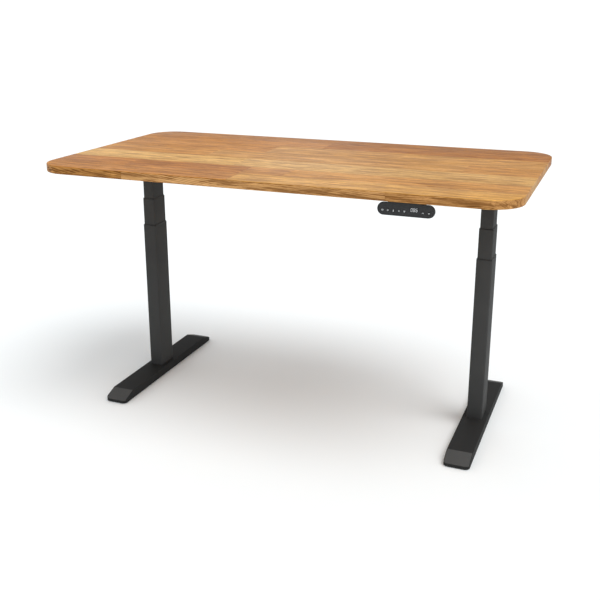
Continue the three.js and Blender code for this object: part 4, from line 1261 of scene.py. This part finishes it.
def build_cover():
    """Rounded lid: a grid below with pressed vent slots, a rounded rim and a flat face above."""
    low, high = span("control_box_cover")
    size, mid = (high - low)[:2], (low + high) / 2
    base, plate_top = low[2], low[2] + COVER["plate"]
    x = np.linspace(-1, 1, 209) * (size[0] / 2 - COVER["rim"])
    y = np.linspace(-1, 1, 61) * (size[1] / 2 - COVER["rim"])
    gx, gy = np.meshgrid(x, y)
    index = np.abs(gx) / SLOT_PITCH
    from_slot = np.abs(index - np.round(index)) * SLOT_PITCH
    along = np.maximum(np.abs(gy) - SLOT_HALF, 0)
    away = np.hypot(from_slot, along)
    pressed = np.clip((COVER["slot_reach"] - away) / COVER["slot_slope"], 0, 1)
    pressed = pressed * (np.round(index) <= SLOT_COUNT - 1)
    depth = SLOT_DEPTH * pressed
    form = Form().add(np.stack([gx, gy, base + depth], -1).reshape(-1, 3) + [mid[0], mid[1], 0],
                      grid_faces(*gx.shape, around=False)[:, ::-1])
    inner = rim_of(np.stack([gx, gy], -1))
    away_from = np.sign(inner) * (np.abs(inner) >= np.abs(inner).max(0) - 1e-9)
    outer = inner + away_from * COVER["rim"]
    corner = np.abs(away_from).sum(1) > 1.5
    outer[corner] = inner[corner] + away_from[corner] * COVER["corner_rim"]
    shrink = 1 - COVER["lower_round"] / (size / 2)
    rings = [level(inner, base), level(outer * shrink, base), level(outer, base + COVER["lower_round"]),
             level(outer, plate_top), level(inner, plate_top)]
    form.loft(rings, caps="none", shift=(*mid[:2], 0))
    form.add(np.stack([gx, gy, np.full_like(gx, plate_top)], -1).reshape(-1, 3) + [mid[0], mid[1], 0],
             grid_faces(*gx.shape, around=False))
    form.piece("control_box_vented_cover", "top", "black_plastic", ["control_box_cover"])
    for dx in (-1, 1):
        for dy in (-1, 1):
            place = mid[:2] + np.array([dx, dy]) * (size / 2 - COVER["screw_in"])
            under_top.put(pan_head(2.9 * MM, 1.5 * MM), (*place, base), DOWN, True)


SOCKET = metres(corner=2, mouth_round=0.8, mouth_corner=1.6, bore=2.4, bore_round=2.9, bore_corner=4,
                bore_lead=0.6, floor=4, pin_root=3, pin_short=5, pin_width=5, pin_thick=2)
SOCKET_PINS = ((-7, -2), (0, 4), (7, -2))


def build_inlet():
    """A sleeve sunk in the wall, open to the rear, with an earth pin above two others."""
    low, high = span("power_inlet")
    size, mid = high - low, (low + high) / 2

    def ring(inset, corner, depth):
        return level(rounded_rect(size[2] - 2 * inset, size[0] - 2 * inset, corner, 5), depth)

    mouth, corner, turn, bore = high[1], SOCKET["corner"], SOCKET["mouth_round"], SOCKET["bore_corner"]
    rings = [ring(0, corner, low[1]), ring(0, corner, mouth - turn),
             ring(turn, SOCKET["mouth_corner"], mouth), ring(SOCKET["bore"], bore, mouth),
             ring(SOCKET["bore_round"], bore, mouth - SOCKET["bore_lead"]),
             ring(SOCKET["bore_round"], bore, low[1] + SOCKET["floor"])]
    form = Form().loft(rings, to_y, shift=(mid[0], 0, mid[2]))
    for dx, dz in SOCKET_PINS:
        pin = rounded_rect(SOCKET["pin_width"], SOCKET["pin_thick"], 0.8 * MM, 3)
        form.slab(pin, low[1] + SOCKET["pin_root"], mouth - SOCKET["pin_short"], 0.7 * MM, to_y, 1,
                  (mid[0] + dx * MM, 0, mid[2] + dz * MM))
    form.piece("mains_socket", "top", "black_plastic", ["power_inlet"],
               [FINISHES["black_plastic"], ZINC_SCREW])


build_control_box()
build_cover()
build_inlet()
print("control box", np.round((span("control_box")[1] - span("control_box")[0]) / MM, 1))

# %% [markdown]
# ## The leads and their clips
# Three soft leads run flat against the underside of the top, from the motors and from the hand
# control to the box, held by small saddle clips. A lead follows a smooth curve through a few
# chosen points: on each stretch, a cubic is fixed by its two ends and by the slopes there. A
# circle is then carried along the curve, standing square to it everywhere.

# %% Leads and clips
LEAD_RADIUS = 2.2 * MM
LEAD_Z = 831.5


def smooth_line(points, per_stretch=9):
    """A centripetal Catmull-Rom curve: time between points is the root of their distance."""
    p = np.asarray(points, float)
    p = np.vstack([2 * p[0] - p[1], p, 2 * p[-1] - p[-2]])
    gap = np.sqrt(np.linalg.norm(np.diff(p, axis=0), axis=1))[:, None]
    a, b, c, d = p[:-3], p[1:-2], p[2:-1], p[3:]
    t0, t1, t2 = gap[:-2], gap[1:-1], gap[2:]
    leave = ((b - a) / t0 - (c - a) / (t0 + t1) + (c - b) / t1) * t1
    reach = ((c - b) / t1 - (d - b) / (t1 + t2) + (d - c) / t2) * t1
    s = np.linspace(0, 1, per_stretch, endpoint=False)[:, None, None]
    line = ((2 * s ** 3 - 3 * s ** 2 + 1) * b + (s ** 3 - 2 * s ** 2 + s) * leave
            + (3 * s ** 2 - 2 * s ** 3) * c + (s ** 3 - s ** 2) * reach)
    return np.vstack([line.transpose(1, 0, 2).reshape(-1, 3), p[-2:-1]])


def sleeve_along(line, radius, steps=14):
    """A circle carried along a line, in the frame of its direction and the level side of it."""
    ahead = np.gradient(line, axis=0)
    ahead /= np.linalg.norm(ahead, axis=1)[:, None]
    side = np.cross(ahead, [0, 0, 1.0])
    side /= np.linalg.norm(side, axis=1)[:, None]
    rise = np.cross(side, ahead)
    ring = circle(radius, steps)
    return line[:, None] + ring[None, :, :1] * side[:, None] + ring[None, :, 1:] * rise[:, None]


CLIP_TAB_Z = 834.2


def clip_over(place, along_x):
    """A saddle: a strip bent under the lead and out to a tab on each side, as wide as a finger nail."""
    x, y, z = place
    tab = CLIP_TAB_Z - z
    bend = [(-9, tab), (-3.4, tab), (-3.4, -2.9), (3.4, -2.9), (3.4, tab), (9, tab)]
    section = strip([(a * MM, b * MM) for a, b in bend], [0, 0.8 * MM, 2.2 * MM, 2.2 * MM, 0.8 * MM, 0],
                    0.9 * MM)
    rings = [level(section, v * MM) for v in (-3.5, 3.5)]
    clips.loft(rings, to_x if along_x else swap_yz, caps="ladder", shift=(x * MM, y * MM, z * MM))
    for d in (-7, 7):
        seat = (x, y + d, CLIP_TAB_Z - 0.5) if along_x else (x + d, y, CLIP_TAB_Z - 0.5)
        under_top.put(pan_head(1.7 * MM, 0.9 * MM), np.array(seat) * MM, DOWN)


clips = Form()
PORT_X, PORT_Z, BOX_FRONT = 90, 818, 160
for word, side in SIDES:
    motor_low, motor_high = span(f"{word}_motor")
    end = (motor_low[0] if side > 0 else motor_high[0]) / MM - side * 0.3
    y, z = (middle(f"{word}_motor")[1:] / MM).tolist()
    route = [(end, y, z), (end - side * 12, y, z), (end - side * 30, y + 1, 813),
             (end - side * 42, y + 5, 827), (end - side * 56, y + 16, LEAD_Z),
             (end - side * 72, y + 32, LEAD_Z), (end - side * 86, y + 46, LEAD_Z),
             (end - side * 110, y + 56, LEAD_Z), (end - side * 160, y + 58, LEAD_Z),
             (side * (PORT_X + 60), y + 58, LEAD_Z), (side * (PORT_X + 22), y + 58, LEAD_Z - 2),
             (side * (PORT_X + 4), y + 62, LEAD_Z - 9), (side * PORT_X, y + 70, PORT_Z),
             (side * PORT_X, BOX_FRONT + 10, PORT_Z)]
    line = smooth_line(np.array(route) * MM)
    Form().loft(sleeve_along(line, LEAD_RADIUS)).piece(
        f"{word}_motor_cable", "top", "lead_sheath", [f"{word}_motor_lead"])
    for clip_x in (180, 290):
        clip_over((side * clip_x, y + 58, LEAD_Z), True)
pill = middle("hand_control_fascia") / MM
x, low_z = float(round(pill[0], 1)), PORT_Z + 3
route = [(x, -333.5, 829), (x, -320, 829.5), (x, -295, LEAD_Z), (x, -200, LEAD_Z), (x, -60, LEAD_Z),
         (x, 40, LEAD_Z), (x - 2, 84, LEAD_Z), (x - 7, 108, LEAD_Z), (x - 14, 125, LEAD_Z),
         (x - 26, 136, 828), (x - 46, 138, low_z + 1), (x - 90, 137, low_z), (200, 137, low_z),
         (60, 137, low_z), (28, 138, low_z - 1), (9, 142, PORT_Z + 1), (1, 150, PORT_Z),
         (0, BOX_FRONT, PORT_Z), (0, BOX_FRONT + 10, PORT_Z)]
hand_line = smooth_line(np.array(route) * MM)
Form().loft(sleeve_along(hand_line, LEAD_RADIUS)).piece(
    "hand_control_cable", "top", "lead_sheath", ["hand_control_lead"])
for clip_y in (-250, -130, 10):
    clip_over((x, clip_y, LEAD_Z), False)
clips.piece("lead_clips", "top", "black_plastic")
print("hand control lead", round(float(np.linalg.norm(np.diff(hand_line, axis=0), axis=1).sum()), 3), "m")

# %% [markdown]
# ## The hand control
# The hand control is a pill-shaped moulding tipped back a little to face the user, with a block
# behind it that is screwed under the top. It is drawn lying flat, with x along the pill and z out
# of its face, and then stood up. A shallow lip runs round the polished face. The five small keys
# on the left and the two arrows on the right are pale printed icons on round caps, and three lit
# figures give the height in centimetres.

# %% Hand control
PILL = {"length": 157.3 * MM, "height": 35.5 * MM, "depth": 13 * MM, "tilt": 12,
        "place": (451.4, -394.5, 815.1)}
MOUNT_BLOCK = (400 * MM, 496 * MM)
PILL_TURN = math.radians(90 - PILL["tilt"])
RIM, RECESS = 2.5 * MM, 0.6 * MM


def stand_up(points):
    """Turns the flat drawing about X to the pill's tilt and moves it to its place."""
    c, s = math.cos(PILL_TURN), math.sin(PILL_TURN)
    x, y, z = points[..., 0], points[..., 1], points[..., 2]
    return np.stack([x, y * c - z * s, y * s + z * c], -1) + np.array(PILL["place"]) * MM


def pill_outline(inset, steps=14):
    """A stadium: a rounded rectangle whose corner radius is all but half its height."""
    return rounded_rect(PILL["length"] - 2 * inset, PILL["height"] - 2 * inset,
                        PILL["height"] / 2 - inset - 0.01 * MM, steps)


MOUNT_WEDGE, MOUNT_ROUNDS = ((-391, 824), (-384, 808), (-342, 821), (-334, 827)), (1, 2, 4, 3, 0.3, 0.3)


def build_pill():
    """The outline carried from the back to the face and in again, along a quarter circle at each rim."""
    turn = np.linspace(0, np.pi / 2, 6)
    back, rim = 3.5 * MM, 0.5 * MM
    rings = [level(pill_outline(back * (1 - math.sin(a))),
                   -PILL["depth"] + back * (1 - math.cos(a))) for a in turn]
    rings += [level(pill_outline(rim * (1 - math.cos(a))), -rim + rim * math.sin(a)) for a in turn]
    rings += [level(pill_outline(RIM - 0.5 * MM), 0), level(pill_outline(RIM - 0.12 * MM), -0.15 * MM),
              level(pill_outline(RIM), -0.5 * MM), level(pill_outline(RIM), -PILL["depth"] + RIM)]
    form = Form().loft(rings, stand_up)
    top = span("hand_control_housing")[1][2] / MM
    wedge = np.array([*MOUNT_WEDGE, (MOUNT_WEDGE[-1][0], top), (MOUNT_WEDGE[0][0], top)]) * MM
    profile = fillet(wedge, np.array(MOUNT_ROUNDS) * MM, 4, closed=True)
    mid = (profile.max(0) + profile.min(0)) / 2
    ends = np.array([0, 0.6, 2, 4]) * MM
    scales = np.array([0.9, 0.96, 0.99, 1.0])
    left, right = MOUNT_BLOCK
    rings = [level((profile - mid) * [s, 1] + mid, left + e) for s, e in zip(scales, ends)]
    rings += [level((profile - mid) * [s, 1] + mid, right - e) for s, e in zip(scales[::-1], ends[::-1])]
    form.loft(rings, to_x)
    form.piece("hand_control_body", "top", "black_plastic", ["hand_control_housing"])


DISPLAY_AT, DISPLAY_SIZE = (23 * MM, 1.2 * MM), (24 * MM, 12 * MM)
KEYS = {f"key_{i + 1}": ((-63.9 + 15.2 * i) * MM, -4.5 * MM) for i in range(5)}
KEYS.update(key_up=(47.4 * MM, -5.0 * MM), key_down=(63.4 * MM, -5.0 * MM))
KEY_TOP, KEY_RADIUS, FACE_BACK = -0.3 * MM, 4.6 * MM, -2.2 * MM


def build_face():
    """A plate with a hole for each key and one for the lens."""
    holes = [circle(KEY_RADIUS + 0.45 * MM, 40) + np.array(place) for place in KEYS.values()]
    window = rounded_rect(DISPLAY_SIZE[0] + 0.5 * MM, DISPLAY_SIZE[1] + 0.5 * MM, 1 * MM, 4) + DISPLAY_AT
    form = Form().plate(pill_outline(RIM + 0.25 * MM), [*holes, window], FACE_BACK, -RECESS, stand_up)
    form.piece("hand_control_face", "top", "gloss_black", ["hand_control_fascia"])
    lens = rounded_rect(*DISPLAY_SIZE, 0.9 * MM, 4)
    flat = Form().slab(lens, -2 * MM, -RECESS, 0.15 * MM,
                       lambda p: stand_up(p + np.array([*DISPLAY_AT, 0])))
    flat.piece("hand_control_lens", "top", "display", ["hand_control_display"])


build_pill()
build_face()
print("hand control face has", len(KEYS), "key holes")

# %% [markdown]
# ## Icons and figures
# Icons are flat shapes laid a hair above the caps. Each is a list of outlines in millimetres: a
# ring, a drop, a triangle or a chevron is enough at this size. The figures are made of seven
# slanted bars each, as on any lit display.

# %% Icons and figures
INK = 0.05 * MM


def bar(start, end, width):
    """A round-ended stroke from start to end."""
    start, end = np.asarray(start, float), np.asarray(end, float)
    along = end - start
    length = np.linalg.norm(along)
    across = np.array([-along[1], along[0]]) / length
    shape = rounded_rect(length + width, width, width / 2 - 1e-3, 3)
    return (start + end) / 2 + shape[:, :1] * along / length + shape[:, 1:] * across


def ring_shape(radius, width):
    """Two circles, one the stroke's width inside the other."""
    return circle(radius, 28), circle(radius - width, 28)


ICONS = {
    "key_1": [(rounded_rect(6.0, 4.2, 1.2), [rounded_rect(4.6, 2.8, 0.7)]),
              (bar((-1.5, 0), (1.5, 0), 0.9), [])],
    "key_2": [(ring_shape(2.3, 0.7)[0], [ring_shape(2.3, 0.7)[1]]), (circle(0.8, 16), [])],
    "key_3": [(circle(0.95, 18) + [0, 2.2], []),
              (fillet([(-1.7, -2.6), (1.7, -2.6), (1.2, 0.9), (-1.2, 0.9)], 0.7, 3, True), [])],
    "key_4": [(fillet([(-2.3, 0), (1.5, -2.5), (1.5, 2.5)], 0.4, 3, True), [])],
    "key_5": [(ring_shape(2.2, 0.65)[0] + [0, 0.3], [ring_shape(2.2, 0.65)[1] + [0, 0.3]]),
              (circle(1.0, 16) + [0, 0.3], []), (bar((0, -2.2), (0, -2.8), 0.8), [])],
    "key_up": [(fillet([(-3.6, -1.3), (-2.5, -1.8), (0, 0.3), (2.5, -1.8), (3.6, -1.3), (0, 1.8)],
                       0.35, 3, True), [])],
    "key_down": [(fillet([(-3.6, 1.5), (0, -1.9), (3.6, 1.5), (0, 0.9)], 0.35, 3, True), [])],
}


KEY_PROFILE = ((0.05, -3.8), (6, -3.8), (6, -2.6), (4.6, -2.6), (4.6, -0.3), (0.05, -0.3))
KEY_ROUNDS = (0, 0.2, 0.2, 0.2, 0.35, 0)


def build_key(node, at):
    """A domed cap with a flange behind the face, and its icon on top."""
    def place(points):
        return stand_up(points + np.array([*at, 0]))

    profile = fillet(np.array(KEY_PROFILE) * MM, np.array(KEY_ROUNDS) * MM, 3)
    form = Form().turned(profile, 40, place)
    for outline, holes in ICONS[node]:
        form.plate(outline * MM, [h * MM for h in holes], KEY_TOP - INK, KEY_TOP + INK, place, finish=1)
    form.piece(f"{node}_cap", node.replace("key", "button"), "key_cap", [node],
               [FINISHES["key_cap"], GLOWING_ICON_INK])


SEGMENTS = {"top": ((-1, 2), (1, 2)), "upper_left": ((-1, 0), (-1, 2)), "upper_right": ((1, 0), (1, 2)),
            "middle": ((-1, 0), (1, 0)), "lower_left": ((-1, -2), (-1, 0)), "lower_right": ((1, -2), (1, 0)),
            "bottom": ((-1, -2), (1, -2))}
FIGURES = {"0": "top upper_left upper_right lower_left lower_right bottom", "8": " ".join(SEGMENTS),
           "6": "top upper_left middle lower_left lower_right bottom"}
FIGURE = {"half_width": 2.0, "half_height": 2.1, "stroke": 0.55, "pitch": 6.8, "slant": 0.08, "gap": 0.12}


def build_reading(number):
    """Slanted bars: a point moves right by slant times its height."""
    form = Form()
    for place, figure in enumerate(number):
        for name in FIGURES[figure].split():
            start, end = np.array(SEGMENTS[name]) * [FIGURE["half_width"], FIGURE["half_height"]]
            inward = (end - start) * FIGURE["gap"]
            shape = bar(start + inward, end - inward, FIGURE["stroke"])
            shape = shape + np.column_stack([shape[:, 1] * FIGURE["slant"], np.zeros(len(shape))])
            shape = (shape + [(place - 1) * FIGURE["pitch"], 0]) * MM + DISPLAY_AT
            form.slab(shape, -RECESS - 0.02 * MM, -RECESS + INK, place=stand_up)
    form.piece("display_reading", "top", "display", finishes=[LIT_FIGURES])


for node, at in KEYS.items():
    build_key(node, at)
build_reading(f"{TOP_Z * 100:03.0f}")
under_top.piece("under_top_fixings", "top")
